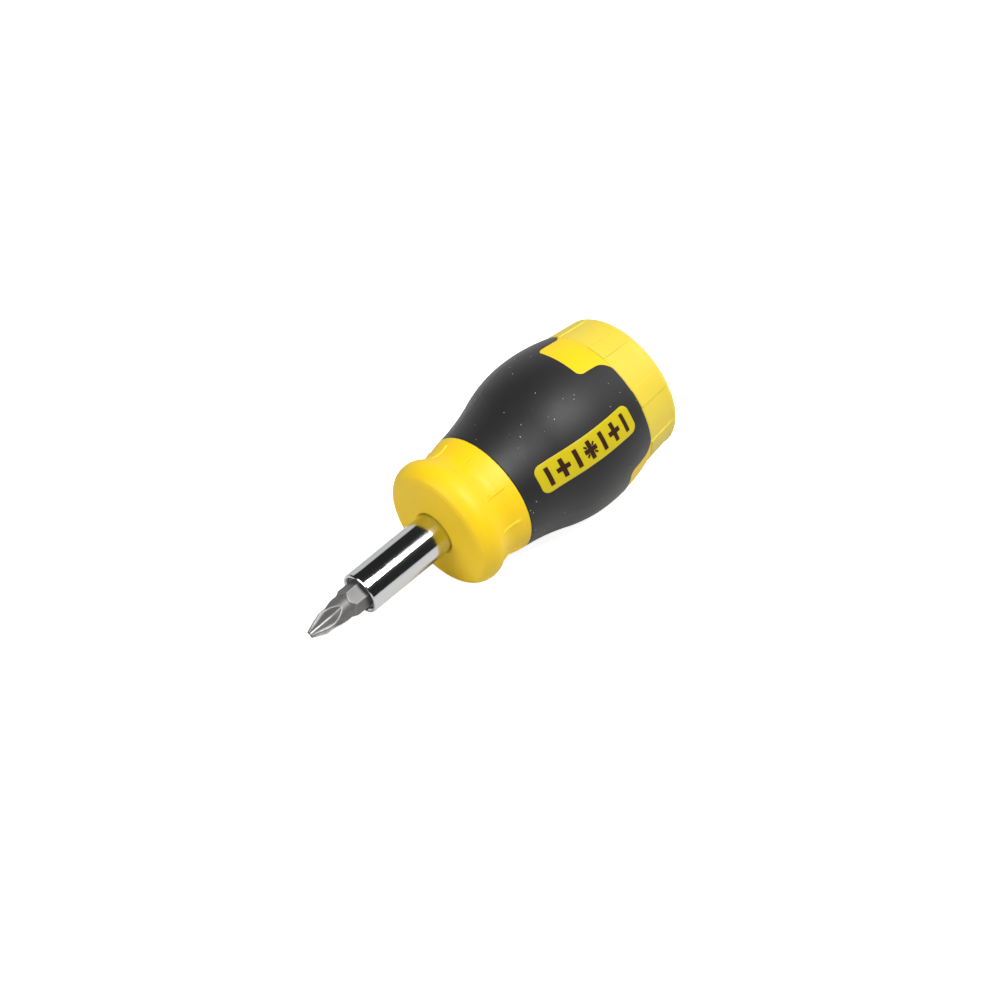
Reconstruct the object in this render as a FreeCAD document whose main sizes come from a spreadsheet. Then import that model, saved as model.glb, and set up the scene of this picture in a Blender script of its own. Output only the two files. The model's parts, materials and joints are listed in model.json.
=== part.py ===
"""Stubby screwdriver with changeable bits and a bit store in its handle.

Every piece is drawn along its own X axis, from the tip of the fitted bit (x = 0) to the
end of the cap, and is then laid on the floor by one shared placement, so that the tool
rests on the flange and on the thickest part of the grip. Lengths are in millimetres.
Angles round the axis are counted from straight up (+Z) towards -Y.
"""
import FreeCAD, Part
import math
import os
import Sketcher
from FreeCAD import Placement, Rotation, Vector

DIMENSIONS = {
    # slope of the tool's axis as it lies on the floor
    "tilt_deg": 7.477,
    # stations along the axis, from the tip of the fitted bit
    "origin_station": 0.0,
    "flange_face": 39.9,
    "flange_edge": 40.7,
    "bore_step": 41.2,
    "flange_crest": 44.7,
    "flange_back": 47.17,
    "rib_start": 48.0,
    "neck_waist": 50.44,
    "neck_end": 52.0,
    "rib_end": 53.7,
    "grip_start": 56.0,
    "grip_middle": 69.0,
    "grip_crest": 81.0,
    "grip_end": 93.6,
    "store_floor": 71.0,
    "cap_brow": 102.0,
    "cap_end": 105.0,
    # radii of the handle
    "axis_radius": 0.0,
    "mouth_radius": 5.75,
    "flange_edge_radius": 14.0,
    "flange_radius": 16.4,
    "flange_back_radius": 15.67,
    "waist_radius": 14.7,
    "neck_end_radius": 14.91,
    "grip_start_radius": 15.75,
    "grip_middle_radius": 18.8,
    "grip_radius": 20.9,
    "grip_end_radius": 19.1,
    "grip_wall": 2.0,
    "store_radius": 15.0,
    # ribs on the neck
    "rib_height": 0.28,
    "rib_foot": 0.8,
    "rib_start_radius": 15.2,
    "rib_end_radius": 15.25,
    "rib_width_deg": 3.0,
    "rib_count": 10,
    "rib_angle": 7.0,
    # windows in the grip that show the core
    "window_start": 85.0,
    "window_half_width": 6.84,
    "window_corner": 1.5,
    "window_flare_start": 90.4,
    "window_mouth_half_width": 9.4,
    "window_count": 3,
    "window_angle": -2.5,
    "window_mouth": 93.7,
    "window_overrun": 96.0,
    # plate let into the grip
    "badge_start": 61.2,
    "badge_end": 89.4,
    "badge_half_width": 3.65,
    "badge_corner": 2.0,
    "badge_depth": 1.0,
    "badge_proud": 0.15,
    "badge_angle": 59.0,
    "badge_clearance": 3.0,
    "tab_root": 3.0,
    "cutter_height": 30.0,
    # cap
    "cap_rim_radius": 19.15,
    "cap_rim_margin": 1.0,
    "cap_brow_radius": 18.15,
    "cap_end_radius": 15.2,
    "cap_hollow_end": 102.6,
    "cap_hollow_radius": 13.2,
    "spigot_start": 88.0,
    "spigot_radius": 14.95,
    "seal_groove_start": 89.6,
    "seal_groove_end": 91.4,
    "seal_groove_radius": 13.95,
    "seal_middle": 90.5,
    "seal_ring_radius": 14.49,
    "seal_section_radius": 0.49,
    "scallop_depth": 0.28,
    "scallop_end": 103.4,
    "scallop_end_radius": 17.75,
    "scallop_outside": 22.0,
    "scallop_width_deg": 30.0,
    "scallop_count": 8,
    "scallop_angle": 31.5,
    # sleeve, socket, magnet and ring
    "sleeve_start": 15.6,
    "sleeve_shoulder": 39.4,
    "sleeve_end": 58.2,
    "sleeve_radius": 5.25,
    "sleeve_seat_radius": 4.9,
    "sleeve_bore_radius": 4.3,
    "sleeve_chamfer": 0.35,
    "socket_start": 16.4,
    "socket_end": 60.2,
    "socket_hex_radius": 3.724,
    "socket_hex_end": 25.6,
    "magnet_radius": 2.8,
    "magnet_pocket_radius": 2.85,
    "magnet_start": 25.1,
    "magnet_end": 31.0,
    "magnet_pocket_end": 31.2,
    "ring_start": 17.4,
    "ring_end": 18.2,
    "ring_groove_start": 17.3,
    "ring_groove_end": 18.3,
    "ring_inner_radius": 3.72,
    "ring_outer_radius": 4.02,
    "ring_span_deg": 325.0,
    "ring_groove_radius": 4.06,
    # bits, by their own lengths from the tip
    "bit_length": 25.0,
    "hex_turn_deg": 30.0,
    "hex_start": 10.6,
    "hex_shoulder_end": 12.1,
    "hex_radius": 3.666,
    "hex_chamfer": 0.6,
    "hex_chamfer_radius": 3.1,
    "hex_outside": 4.2,
    "shank_into_hex": 11.6,
    "flute_count": 4,
    "flute_lead": 0.5,
    "flute_half_width": 6.0,
    "flute_rise": 3.75,
    "rib_half_width": 0.4,
    "ground_count": 2,
    "ground_lead": 1.0,
    "ground_flat": 1.6,
    "ground_slope": 0.06,
    "ground_outside": 5.0,
    "notch_start": 17.0,
    "notch_floor_start": 17.4,
    "notch_floor_end": 18.1,
    "notch_end": 18.5,
    "notch_floor_radius": 3.3,
    "fitted_bit_angle": 30.0,
    # carrier of the spare bits
    "carrier_start": 71.05,
    "carrier_end": 87.6,
    "carrier_radius": 14.98,
    "carrier_hole_radius": 3.6,
    "pocket_radius": 3.85,
    "pocket_circle": 9.3,
    "pocket_floor": 73.3,
    "pocket_count": 5,
    "pocket_angle": 20.0,
    "spare_end": 73.4,
}

CROSS_BITS = {
    "fitted_bit": {
        "tip_radius": 0.95,
        "cone_end": 4.0,
        "shank_radius": 3.0,
        "root_low": 0.3,
        "flute_mid": 6.6,
        "root_mid": 1.49,
        "root_high": 3.15,
        "flute_end": 9.3,
    },
    "cross_bit_small": {
        "tip_radius": 0.5,
        "cone_end": 3.6,
        "shank_radius": 2.3,
        "root_low": 0.18,
        "flute_mid": 5.0,
        "root_mid": 1.1,
        "root_high": 2.4,
        "flute_end": 7.2,
    },
    "pozi_bit_large": {
        "tip_radius": 1.05,
        "cone_end": 4.0,
        "shank_radius": 3.0,
        "root_low": 0.45,
        "flute_mid": 6.2,
        "root_mid": 1.5,
        "root_high": 3.15,
        "flute_end": 8.8,
        "rib_reach": 1.05,
        "rib_length": 4.5,
    },
    "pozi_bit_small": {
        "tip_radius": 0.78,
        "cone_end": 3.2,
        "shank_radius": 2.35,
        "root_low": 0.34,
        "flute_mid": 5.0,
        "root_mid": 1.15,
        "root_high": 2.45,
        "flute_end": 7.2,
        "rib_reach": 0.78,
        "rib_length": 3.6,
    },
}
BLADE_BITS = {
    "slotted_bit_wide": {
        "half_width": 3.0,
        "half_edge": 0.5,
        "ground_end": 9.5,
    },
    "slotted_bit_narrow": {
        "half_width": 2.25,
        "half_edge": 0.4,
        "ground_end": 8.0,
    },
}
SPARE_BITS = (
    "pozi_bit_large",
    "slotted_bit_wide",
    "pozi_bit_small",
    "slotted_bit_narrow",
    "cross_bit_small",
)

for name, sizes in {**CROSS_BITS, **BLADE_BITS}.items():
    for key, number in sizes.items():
        DIMENSIONS[name + "_" + key] = number

doc = FreeCAD.newDocument("stubby_screwdriver")
sheet = doc.addObject("Spreadsheet::Sheet", "dims")
for row, (alias, number) in enumerate(DIMENSIONS.items(), start=1):
    sheet.set("A%d" % row, alias)
    sheet.set("B%d" % row, "%g" % number)
    sheet.setAlias("B%d" % row, alias)
doc.recompute()


def value(terms):
    """Number that a sum of cell names stands for, such as "grip_radius -grip_wall"."""
    total = 0.0
    for term in terms.split():
        sign = -1.0 if term.startswith("-") else 1.0
        total += sign * DIMENSIONS[term.lstrip("-")]
    return total


def formula(terms, unit="mm", flipped=False):
    """Expression over the sheet's cells for the same sum; flipped changes its sign."""
    text = "0"
    for term in terms.split():
        minus = term.startswith("-") != flipped
        text += (" - " if minus else " + ") + "dims." + term.lstrip("-")
    return "1 %s * (%s)" % (unit, text)


def new_body(name):
    """Empty PartDesign body whose label is its name."""
    body = doc.addObject("PartDesign::Body", name)
    body.Label = name
    return body


def origin_feature(body, role):
    """One of the body's own origin planes or axes, by its role."""
    return next(item for item in body.Origin.OriginFeatures if item.Role == role)


def attach(item, body, role, station=None, angle=0.0):
    """Put a sketch or prism on an origin plane, moved out to a station and turned.

    A crosswise item turns round its own normal, a lengthwise one round its own x axis,
    and both of those are the tool's axis.
    """
    item.AttachmentSupport = [(origin_feature(body, role), "")]
    item.MapMode = "FlatFace"
    turn_axis = Vector(0, 0, 1) if role == "YZ_Plane" else Vector(1, 0, 0)
    item.AttachmentOffset = Placement(Vector(0, 0, 0), Rotation(turn_axis, angle))
    if station:
        item.setExpression("AttachmentOffset.Base.z", formula(station))


def new_sketch(body, name, role, station=None, angle=0.0):
    """Sketch on one of the body's origin planes."""
    sketch = body.newObject("Sketcher::SketchObject", name)
    attach(sketch, body, role, station, angle)
    return sketch


def fix_point(sketch, geometry, position, along, up):
    """Hold a point at cell-driven distances from the sketch's origin."""
    for kind, terms, axis_line in (("DistanceX", along, -2), ("DistanceY", up, -1)):
        distance = value(terms)
        if abs(distance) < 1e-9:
            on_axis = Sketcher.Constraint("PointOnObject", geometry, position, axis_line)
            sketch.addConstraint(on_axis)
            continue
        flipped = distance < 0
        ends = (geometry, position, -1, 1) if flipped else (-1, 1, geometry, position)
        index = sketch.addConstraint(Sketcher.Constraint(kind, *ends, abs(distance)))
        sketch.setExpression("Constraints[%d]" % index, formula(terms, flipped=flipped))


def arc_centre(start, end, tangent):
    """Centre of the arc from start to end that leaves start along the tangent."""
    normal = Vector(-tangent.y, tangent.x, 0)
    chord = end - start
    return start + normal * (chord.dot(chord) / (2 * normal.dot(chord)))


def tangent_at(point, run_start, run_end, centre):
    """Direction of a neighbouring run at the point it shares."""
    if centre is None:
        return run_end - run_start
    ray = point - centre
    return Vector(-ray.y, ray.x, 0)


def arc_centres(points, kinds):
    """Centres of the arcs of a closed outline, by index.

    "from_crest" and "to_crest" arcs are level at their start or their end. "after" and
    "before" arcs are tangent to the run that comes before or after them.
    """
    count = len(points)
    centres = {}
    level = Vector(1, 0, 0)
    for i, kind in enumerate(kinds):
        if kind == "from_crest":
            centres[i] = arc_centre(points[i], points[(i + 1) % count], level)
        if kind == "to_crest":
            centres[i] = arc_centre(points[(i + 1) % count], points[i], level)
    for i, kind in enumerate(kinds):
        start = points[i]
        end = points[(i + 1) % count]
        if kind == "after":
            tangent = tangent_at(start, points[i - 1], start, centres.get((i - 1) % count))
            centres[i] = arc_centre(start, end, tangent)
        if kind == "before":
            tangent = tangent_at(end, end, points[(i + 2) % count], centres.get((i + 1) % count))
            centres[i] = arc_centre(end, start, tangent)
    return centres


def draw_outline(sketch, corners):
    """Closed outline from (along, up, kind of the run to the next corner) rows."""
    points = [Vector(value(along), value(up), 0) for along, up, _ in corners]
    kinds = [kind for _, _, kind in corners]
    centres = arc_centres(points, kinds)
    ends = []
    for i, start in enumerate(points):
        end = points[(i + 1) % len(points)]
        if i not in centres:
            sketch.addGeometry(Part.LineSegment(start, end), False)
            ends.append((1, 2))
            continue
        centre = centres[i]
        circle = Part.Circle(centre, Vector(0, 0, 1), (start - centre).Length)
        forward = (start - centre).cross(end - centre).z > 0
        first, last = (start, end) if forward else (end, start)
        arc = Part.ArcOfCircle(circle, circle.parameter(first), circle.parameter(last))
        sketch.addGeometry(arc, False)
        ends.append((1, 2) if forward else (2, 1))
    for i, (along, up, kind) in enumerate(corners):
        before = (i - 1) % len(corners)
        smooth = kind == "after" or kinds[before] == "before"
        link = "Tangent" if smooth else "Coincident"
        sketch.addConstraint(Sketcher.Constraint(link, before, ends[before][1], i, ends[i][0]))
        if kind == "from_crest":
            sketch.addConstraint(Sketcher.Constraint("Vertical", i, 3, i, ends[i][0]))
        if kind == "to_crest":
            sketch.addConstraint(Sketcher.Constraint("Vertical", i, 3, i, ends[i][1]))
        fix_point(sketch, i, ends[i][0], along, up)
    return sketch


def lines(*corners):
    """Rows of an outline whose runs are all straight."""
    return [(along, up, "line") for along, up in corners]


def turn_round(body, kind, name, corners, span=None, angle=0.0):
    """Revolution or Groove of a lengthwise outline, all round or over a span of degrees."""
    sketch = new_sketch(body, name + "_outline", "XZ_Plane", angle=angle)
    draw_outline(sketch, corners)
    feature = body.newObject("PartDesign::" + kind, name)
    feature.Profile = sketch
    feature.ReferenceAxis = (sketch, ["H_Axis"])
    feature.Angle = 360
    if span:
        feature.Midplane = True
        feature.setExpression("Angle", formula(span, "deg"))
    body.Tip = feature
    return feature


def repeat_round(body, feature, count):
    """Repeat a feature evenly round the tool's axis."""
    pattern = body.newObject("PartDesign::PolarPattern", feature.Name + "_round")
    pattern.Originals = [feature]
    pattern.Axis = (origin_feature(body, "X_Axis"), [""])
    pattern.Angle = 360
    pattern.Occurrences = count
    body.Tip = pattern
    return pattern


def turned_body(name, corners, span=None):
    """Body turned from one closed lengthwise outline."""
    body = new_body(name)
    turn_round(body, "Revolution", name + "_turned", corners, span)
    return body


def hex_prism(body, kind, name, radius, start, end):
    """Hexagonal prism along the axis with a corner straight up."""
    prism = body.newObject("PartDesign::" + kind, name)
    attach(prism, body, "YZ_Plane", start, angle=value("hex_turn_deg"))
    prism.Polygon = 6
    prism.setExpression("Circumradius", formula(radius))
    prism.setExpression("Height", formula(end + " -" + start))
    body.Tip = prism
    return prism


def combined(kind, name, base, tool):
    """Part boolean of two objects."""
    result = doc.addObject("Part::" + kind, name)
    result.Base = base
    result.Tool = tool
    result.Label = name
    return result


def grip_surface(inset):
    """Outside of the grip from front edge to rear edge, moved in by an inset."""
    return [
        ("grip_start", "grip_start_radius" + inset, "before"),
        ("grip_middle", "grip_middle_radius" + inset, "to_crest"),
        ("grip_crest", "grip_radius" + inset, "from_crest"),
        ("grip_end", "grip_end_radius" + inset, "line"),
    ]


def grip_surface_back(inset):
    """The same surface drawn from the rear edge to the front edge."""
    return [
        ("grip_end", "grip_end_radius" + inset, "to_crest"),
        ("grip_crest", "grip_radius" + inset, "from_crest"),
        ("grip_middle", "grip_middle_radius" + inset, "after"),
        ("grip_start", "grip_start_radius" + inset, "line"),
    ]


def grip_ring(name, outer_inset, inner_inset):
    """Ring of the grip's shape between two insets from its outside."""
    return turned_body(name, grip_surface(outer_inset) + grip_surface_back(inner_inset))


def radial_prism(name, corners, angle, count=1):
    """Prism that stands out from the axis at an angle, repeated round it."""
    body = new_body(name)
    sketch = new_sketch(body, name + "_outline", "XY_Plane")
    draw_outline(sketch, corners)
    pad = body.newObject("PartDesign::Pad", name + "_pad")
    pad.Profile = sketch
    pad.setExpression("Length", formula("cutter_height"))
    body.Tip = pad
    if count > 1:
        repeat_round(body, pad, count)
    body.Placement = Placement(Vector(0, 0, 0), Rotation(Vector(1, 0, 0), value(angle)))
    return body


def make_windows():
    """The openings in the grip: rounded at the front, flared at the cap."""
    return radial_prism("windows", [
        ("window_start window_corner", "-window_half_width", "line"),
        ("window_flare_start", "-window_half_width", "after"),
        ("window_mouth", "-window_mouth_half_width", "line"),
        ("window_overrun", "-window_mouth_half_width", "line"),
        ("window_overrun", "window_mouth_half_width", "line"),
        ("window_mouth", "window_mouth_half_width", "before"),
        ("window_flare_start", "window_half_width", "line"),
        ("window_start window_corner", "window_half_width", "after"),
        ("window_start", "window_half_width -window_corner", "line"),
        ("window_start", "-window_half_width window_corner", "after"),
    ], "window_angle", int(value("window_count")))


def make_badge_outline():
    """Upright prism with the badge's rounded outline."""
    return radial_prism("badge_outline", [
        ("badge_start badge_corner", "-badge_half_width", "line"),
        ("badge_end -badge_corner", "-badge_half_width", "after"),
        ("badge_end", "-badge_half_width badge_corner", "line"),
        ("badge_end", "badge_half_width -badge_corner", "after"),
        ("badge_end -badge_corner", "badge_half_width", "line"),
        ("badge_start badge_corner", "badge_half_width", "after"),
        ("badge_start", "badge_half_width -badge_corner", "line"),
        ("badge_start", "-badge_half_width badge_corner", "after"),
    ], "badge_angle")


def make_handle_core(windows):
    """Hard core: flange, waisted neck with ribs, store bore, and tabs in the windows."""
    body = new_body("core_moulding")
    outside = [
        ("flange_face", "mouth_radius", "line"),
        ("flange_edge", "flange_edge_radius", "to_crest"),
        ("flange_crest", "flange_radius", "from_crest"),
        ("flange_back", "flange_back_radius", "to_crest"),
        ("neck_waist", "waist_radius", "from_crest"),
        ("neck_end", "neck_end_radius", "after"),
        ("grip_start", "grip_start_radius", "line"),
    ]
    inside = lines(
        ("grip_end", "store_radius"),
        ("store_floor", "store_radius"),
        ("store_floor", "axis_radius"),
        ("socket_end", "axis_radius"),
        ("socket_end", "sleeve_bore_radius"),
        ("sleeve_end", "sleeve_bore_radius"),
        ("sleeve_end", "sleeve_seat_radius"),
        ("bore_step", "sleeve_seat_radius"),
    )
    turn_round(body, "Revolution", "core_turned", outside + grip_surface(" -grip_wall") + inside)
    rib = turn_round(body, "Revolution", "neck_rib", [
        ("rib_start", "rib_start_radius rib_height", "to_crest"),
        ("neck_waist", "waist_radius rib_height", "from_crest"),
        ("rib_end", "rib_end_radius rib_height", "line"),
        ("rib_end", "waist_radius -rib_foot", "line"),
        ("rib_start", "waist_radius -rib_foot", "line"),
    ], span="rib_width_deg", angle=value("rib_angle"))
    repeat_round(body, rib, int(value("rib_count")))
    tab_ring = grip_ring("tab_ring", "", " -tab_root")
    tabs = combined("Common", "core_tabs", tab_ring, windows)
    return combined("Fuse", "handle_core", body, tabs)


def make_soft_grip(windows, badge_outline):
    """Soft sleeve over the core, with the windows and the badge's bed cut out of it."""
    ring = grip_ring("grip_ring", "", " -grip_wall")
    opened = combined("Cut", "grip_with_windows", ring, windows)
    bed_ring = grip_ring("badge_bed_ring", " badge_clearance", " -badge_depth")
    bed = combined("Common", "badge_bed", bed_ring, badge_outline)
    return combined("Cut", "soft_grip", opened, bed)


def make_badge_plate(badge_outline):
    """Plate that follows the grip and stands a little proud of it."""
    plate_ring = grip_ring("badge_ring", " badge_proud", " -badge_depth")
    return combined("Common", "badge_plate", plate_ring, badge_outline)


def make_end_cap():
    """Hollow plug-in cap with shallow scallops between its lands."""
    body = new_body("end_cap")
    turn_round(body, "Revolution", "cap_turned", [
        ("grip_end", "cap_rim_radius", "line"),
        ("cap_brow", "cap_brow_radius", "after"),
        ("cap_end", "cap_end_radius", "line"),
    ] + lines(
        ("cap_end", "axis_radius"),
        ("cap_hollow_end", "axis_radius"),
        ("cap_hollow_end", "cap_hollow_radius"),
        ("spigot_start", "cap_hollow_radius"),
        ("spigot_start", "spigot_radius"),
        ("seal_groove_start", "spigot_radius"),
        ("seal_groove_start", "seal_groove_radius"),
        ("seal_groove_end", "seal_groove_radius"),
        ("seal_groove_end", "spigot_radius"),
        ("grip_end", "spigot_radius"),
    ))
    scallop = turn_round(body, "Groove", "cap_scallop", lines(
        ("grip_end -cap_rim_margin", "cap_rim_radius -scallop_depth"),
        ("grip_end", "cap_rim_radius -scallop_depth"),
        ("cap_brow", "cap_brow_radius -scallop_depth"),
        ("scallop_end", "scallop_end_radius"),
        ("scallop_end", "scallop_outside"),
        ("grip_end -cap_rim_margin", "scallop_outside"),
    ), span="scallop_width_deg", angle=value("scallop_angle"))
    repeat_round(body, scallop, int(value("scallop_count")))
    return body


def make_cap_seal():
    """Round rubber ring in the spigot's groove."""
    seal = doc.addObject("Part::Torus", "cap_seal")
    seal.Label = "cap_seal"
    seal.setExpression("Radius1", formula("seal_ring_radius"))
    seal.setExpression("Radius2", formula("seal_section_radius"))
    seal.Placement = Placement(Vector(value("seal_middle"), 0, 0), Rotation(Vector(0, 1, 0), 90))
    return seal


def make_bit_carrier():
    """Round block with a ring of pockets that open towards the cap."""
    body = turned_body("bit_carrier", lines(
        ("carrier_start", "carrier_hole_radius"),
        ("carrier_end", "carrier_hole_radius"),
        ("carrier_end", "carrier_radius"),
        ("carrier_start", "carrier_radius"),
    ))
    turn = value("pocket_angle")
    sketch = new_sketch(body, "pocket_outline", "YZ_Plane", "carrier_end", turn)
    centre = Vector(0, value("pocket_circle"), 0)
    circle = Part.Circle(centre, Vector(0, 0, 1), value("pocket_radius"))
    sketch.addGeometry(circle, False)
    fix_point(sketch, 0, 3, "axis_radius", "pocket_circle")
    radius = sketch.addConstraint(Sketcher.Constraint("Radius", 0, value("pocket_radius")))
    sketch.setExpression("Constraints[%d]" % radius, formula("pocket_radius"))
    pocket = body.newObject("PartDesign::Pocket", "bit_pocket")
    pocket.Profile = sketch
    pocket.setExpression("Length", formula("carrier_end -pocket_floor"))
    body.Tip = pocket
    repeat_round(body, pocket, int(value("pocket_count")))
    return body


def make_chrome_sleeve():
    """Bright tube round the socket, chamfered at its mouth and turned down to its seat."""
    return turned_body("chrome_sleeve", lines(
        ("sleeve_start", "sleeve_bore_radius"),
        ("sleeve_start", "sleeve_radius -sleeve_chamfer"),
        ("sleeve_start sleeve_chamfer", "sleeve_radius"),
        ("sleeve_shoulder", "sleeve_radius"),
        ("sleeve_shoulder", "sleeve_seat_radius"),
        ("sleeve_end", "sleeve_seat_radius"),
        ("sleeve_end", "sleeve_bore_radius"),
    ))


def make_bit_socket():
    """Steel socket: hexagonal bore, a pocket for the magnet and a groove for the ring."""
    body = turned_body("bit_socket", lines(
        ("socket_start", "axis_radius"),
        ("socket_start", "sleeve_bore_radius"),
        ("socket_end", "sleeve_bore_radius"),
        ("socket_end", "axis_radius"),
    ))
    hex_prism(
        body, "SubtractivePrism", "hex_bore", "socket_hex_radius", "socket_start", "socket_hex_end"
    )
    turn_round(body, "Groove", "magnet_pocket", lines(
        ("socket_start", "axis_radius"),
        ("socket_start", "magnet_pocket_radius"),
        ("magnet_pocket_end", "magnet_pocket_radius"),
        ("magnet_pocket_end", "axis_radius"),
    ))
    turn_round(body, "Groove", "ring_groove", lines(
        ("ring_groove_start", "magnet_radius"),
        ("ring_groove_start", "ring_groove_radius"),
        ("ring_groove_end", "ring_groove_radius"),
        ("ring_groove_end", "magnet_radius"),
    ))
    return body


def make_socket_magnet():
    """Round magnet behind the bit."""
    return turned_body("socket_magnet", lines(
        ("magnet_start", "axis_radius"),
        ("magnet_start", "magnet_radius"),
        ("magnet_end", "magnet_radius"),
        ("magnet_end", "axis_radius"),
    ))


def make_retaining_ring():
    """Split spring ring that lies in the socket's groove."""
    return turned_body("bit_retaining_ring", lines(
        ("ring_start", "ring_inner_radius"),
        ("ring_start", "ring_outer_radius"),
        ("ring_end", "ring_outer_radius"),
        ("ring_end", "ring_inner_radius"),
    ), span="ring_span_deg")


def finish_hex(body, name):
    """Hexagonal drive end: prism, tapered shoulder, corner notches and end chamfer."""
    hex_prism(body, "AdditivePrism", name + "_hex", "hex_radius", "hex_start", "bit_length")
    turn_round(body, "Groove", name + "_shoulder", lines(
        ("hex_start", "hex_chamfer_radius"),
        ("hex_shoulder_end", "hex_radius"),
        ("hex_shoulder_end", "hex_outside"),
        ("hex_start", "hex_outside"),
    ))
    turn_round(body, "Groove", name + "_notches", lines(
        ("notch_start", "hex_radius"),
        ("notch_floor_start", "notch_floor_radius"),
        ("notch_floor_end", "notch_floor_radius"),
        ("notch_end", "hex_radius"),
        ("notch_end", "hex_outside"),
        ("notch_start", "hex_outside"),
    ))
    turn_round(body, "Groove", name + "_end_chamfer", lines(
        ("bit_length -hex_chamfer", "hex_radius"),
        ("bit_length", "hex_chamfer_radius"),
        ("bit_length", "hex_outside"),
        ("bit_length -hex_chamfer", "hex_outside"),
    ))


def make_cross_bit(name):
    """Cross-point bit: pointed shank, hexagonal end and four flutes that run out in steps."""
    body = turned_body(name, lines(
        ("origin_station", "axis_radius"),
        ("origin_station", name + "_tip_radius"),
        (name + "_cone_end", name + "_shank_radius"),
        ("shank_into_hex", name + "_shank_radius"),
        ("shank_into_hex", "axis_radius"),
    ))
    finish_hex(body, name)
    sections = []
    flute_ends = (
        ("low", "-flute_lead", "_root_low"),
        ("mid", name + "_flute_mid", "_root_mid"),
        ("high", name + "_flute_end", "_root_high"),
    )
    for end, station, root in flute_ends:
        turn = value("fitted_bit_angle")
        section = new_sketch(body, name + "_flute_" + end, "YZ_Plane", station, turn)
        draw_outline(section, lines(
            ("axis_radius", name + root),
            ("flute_half_width", name + root + " flute_rise"),
            ("-flute_half_width", name + root + " flute_rise"),
        ))
        sections.append(section)
    flute = body.newObject("PartDesign::SubtractiveLoft", name + "_flute")
    flute.Profile = sections[0]
    flute.Sections = sections[1:]
    flute.Ruled = True
    body.Tip = flute
    repeat_round(body, flute, int(value("flute_count")))
    if "rib_reach" in CROSS_BITS[name]:
        add_pozi_ribs(body, name)
    return body


def add_pozi_ribs(body, name):
    """Four small ribs in the flutes at the point."""
    sketch = new_sketch(body, name + "_rib_outline", "YZ_Plane", angle=value("fitted_bit_angle"))
    draw_outline(sketch, lines(
        ("-rib_half_width", "axis_radius"),
        ("rib_half_width", "axis_radius"),
        ("rib_half_width", name + "_rib_reach"),
        ("-rib_half_width", name + "_rib_reach"),
    ))
    rib = body.newObject("PartDesign::Pad", name + "_rib")
    rib.Profile = sketch
    rib.setExpression("Length", formula(name + "_rib_length"))
    body.Tip = rib
    repeat_round(body, rib, int(value("flute_count")))


def make_blade_bit(name):
    """Slotted bit: round shank with two hollow-ground faces that meet the flat edge."""
    body = turned_body(name, lines(
        ("origin_station", "axis_radius"),
        ("origin_station", name + "_half_width"),
        ("shank_into_hex", name + "_half_width"),
        ("shank_into_hex", "axis_radius"),
    ))
    finish_hex(body, name)
    sketch = new_sketch(body, name + "_ground_outline", "XZ_Plane", angle=value("fitted_bit_angle"))
    draw_outline(sketch, [
        ("-ground_lead", name + "_half_edge -ground_slope", "line"),
        ("ground_flat", name + "_half_edge ground_slope", "after"),
        (name + "_ground_end", name + "_half_width ground_slope", "line"),
        (name + "_ground_end", "ground_outside", "line"),
        ("-ground_lead", "ground_outside", "line"),
    ])
    grinding = body.newObject("PartDesign::Pocket", name + "_grinding")
    grinding.Profile = sketch
    grinding.SideType = "Symmetric"
    grinding.setExpression("Length", formula("ground_outside ground_outside"))
    body.Tip = grinding
    repeat_round(body, grinding, int(value("ground_count")))
    return body


def stored_placement(slot):
    """Place of a spare bit in its pocket: point towards the cap, a flat facing outwards."""
    angle = value("pocket_angle") + slot * 360.0 / value("pocket_count")
    outward = math.radians(angle)
    reach = value("pocket_circle")
    tip = value("spare_end bit_length")
    place = Vector(tip, -reach * math.sin(outward), reach * math.cos(outward))
    spin = Rotation(Vector(1, 0, 0), angle - value("hex_turn_deg"))
    return Placement(place, spin.multiply(Rotation(Vector(0, 0, 1), 180)))


def make_nodes():
    """All pieces, drawn along the X axis."""
    windows = make_windows()
    badge_outline = make_badge_outline()
    nodes = [
        make_handle_core(windows),
        make_soft_grip(windows, badge_outline),
        make_badge_plate(badge_outline),
        make_end_cap(),
        make_cap_seal(),
        make_bit_carrier(),
        make_chrome_sleeve(),
        make_bit_socket(),
        make_socket_magnet(),
        make_retaining_ring(),
    ]
    bits = {name: make_cross_bit(name) for name in CROSS_BITS}
    bits.update({name: make_blade_bit(name) for name in BLADE_BITS})
    for slot, name in enumerate(SPARE_BITS):
        bits[name].Placement = stored_placement(slot)
    return nodes + list(bits.values())


def check_objects():
    """Stop if any object of the document failed."""
    for item in doc.Objects:
        if "Invalid" in item.State or "Error" in item.State:
            raise RuntimeError("failed object: %s %s" % (item.Name, item.State))


def lay_down(nodes):
    """Tilt the tool onto its two resting places, over the middle of its own outline."""
    tilt = Placement(Vector(0, 0, 0), Rotation(Vector(0, 1, 0), -value("tilt_deg")))
    for node in nodes:
        node.Placement = tilt.multiply(node.Placement)
    box = FreeCAD.BoundBox()
    for node in nodes:
        box.add(node.Shape.optimalBoundingBox(False))
    shift = Placement(Vector(-box.Center.x, -box.Center.y, -box.ZMin), Rotation())
    for node in nodes:
        node.Placement = shift.multiply(node.Placement)
    print("box %.3f x %.3f x %.3f" % (box.XLength, box.YLength, box.ZLength))
    print("shift %.4f %.4f %.4f" % tuple(shift.Base))


def write_parts(nodes):
    """Check each piece and write it to its own file."""
    os.makedirs("parts", exist_ok=True)
    for node in nodes:
        shape = node.Shape
        if shape.isNull() or not shape.isValid() or len(shape.Solids) != 1:
            raise RuntimeError("bad shape: " + node.Label)
    for node in nodes:
        node.Shape.exportStep("parts/%s.step" % node.Label)
        print("%-20s %9.2f mm3" % (node.Label, node.Shape.Volume))


part_nodes = make_nodes()
doc.recompute()
check_objects()
lay_down(part_nodes)
write_parts(part_nodes)
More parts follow.
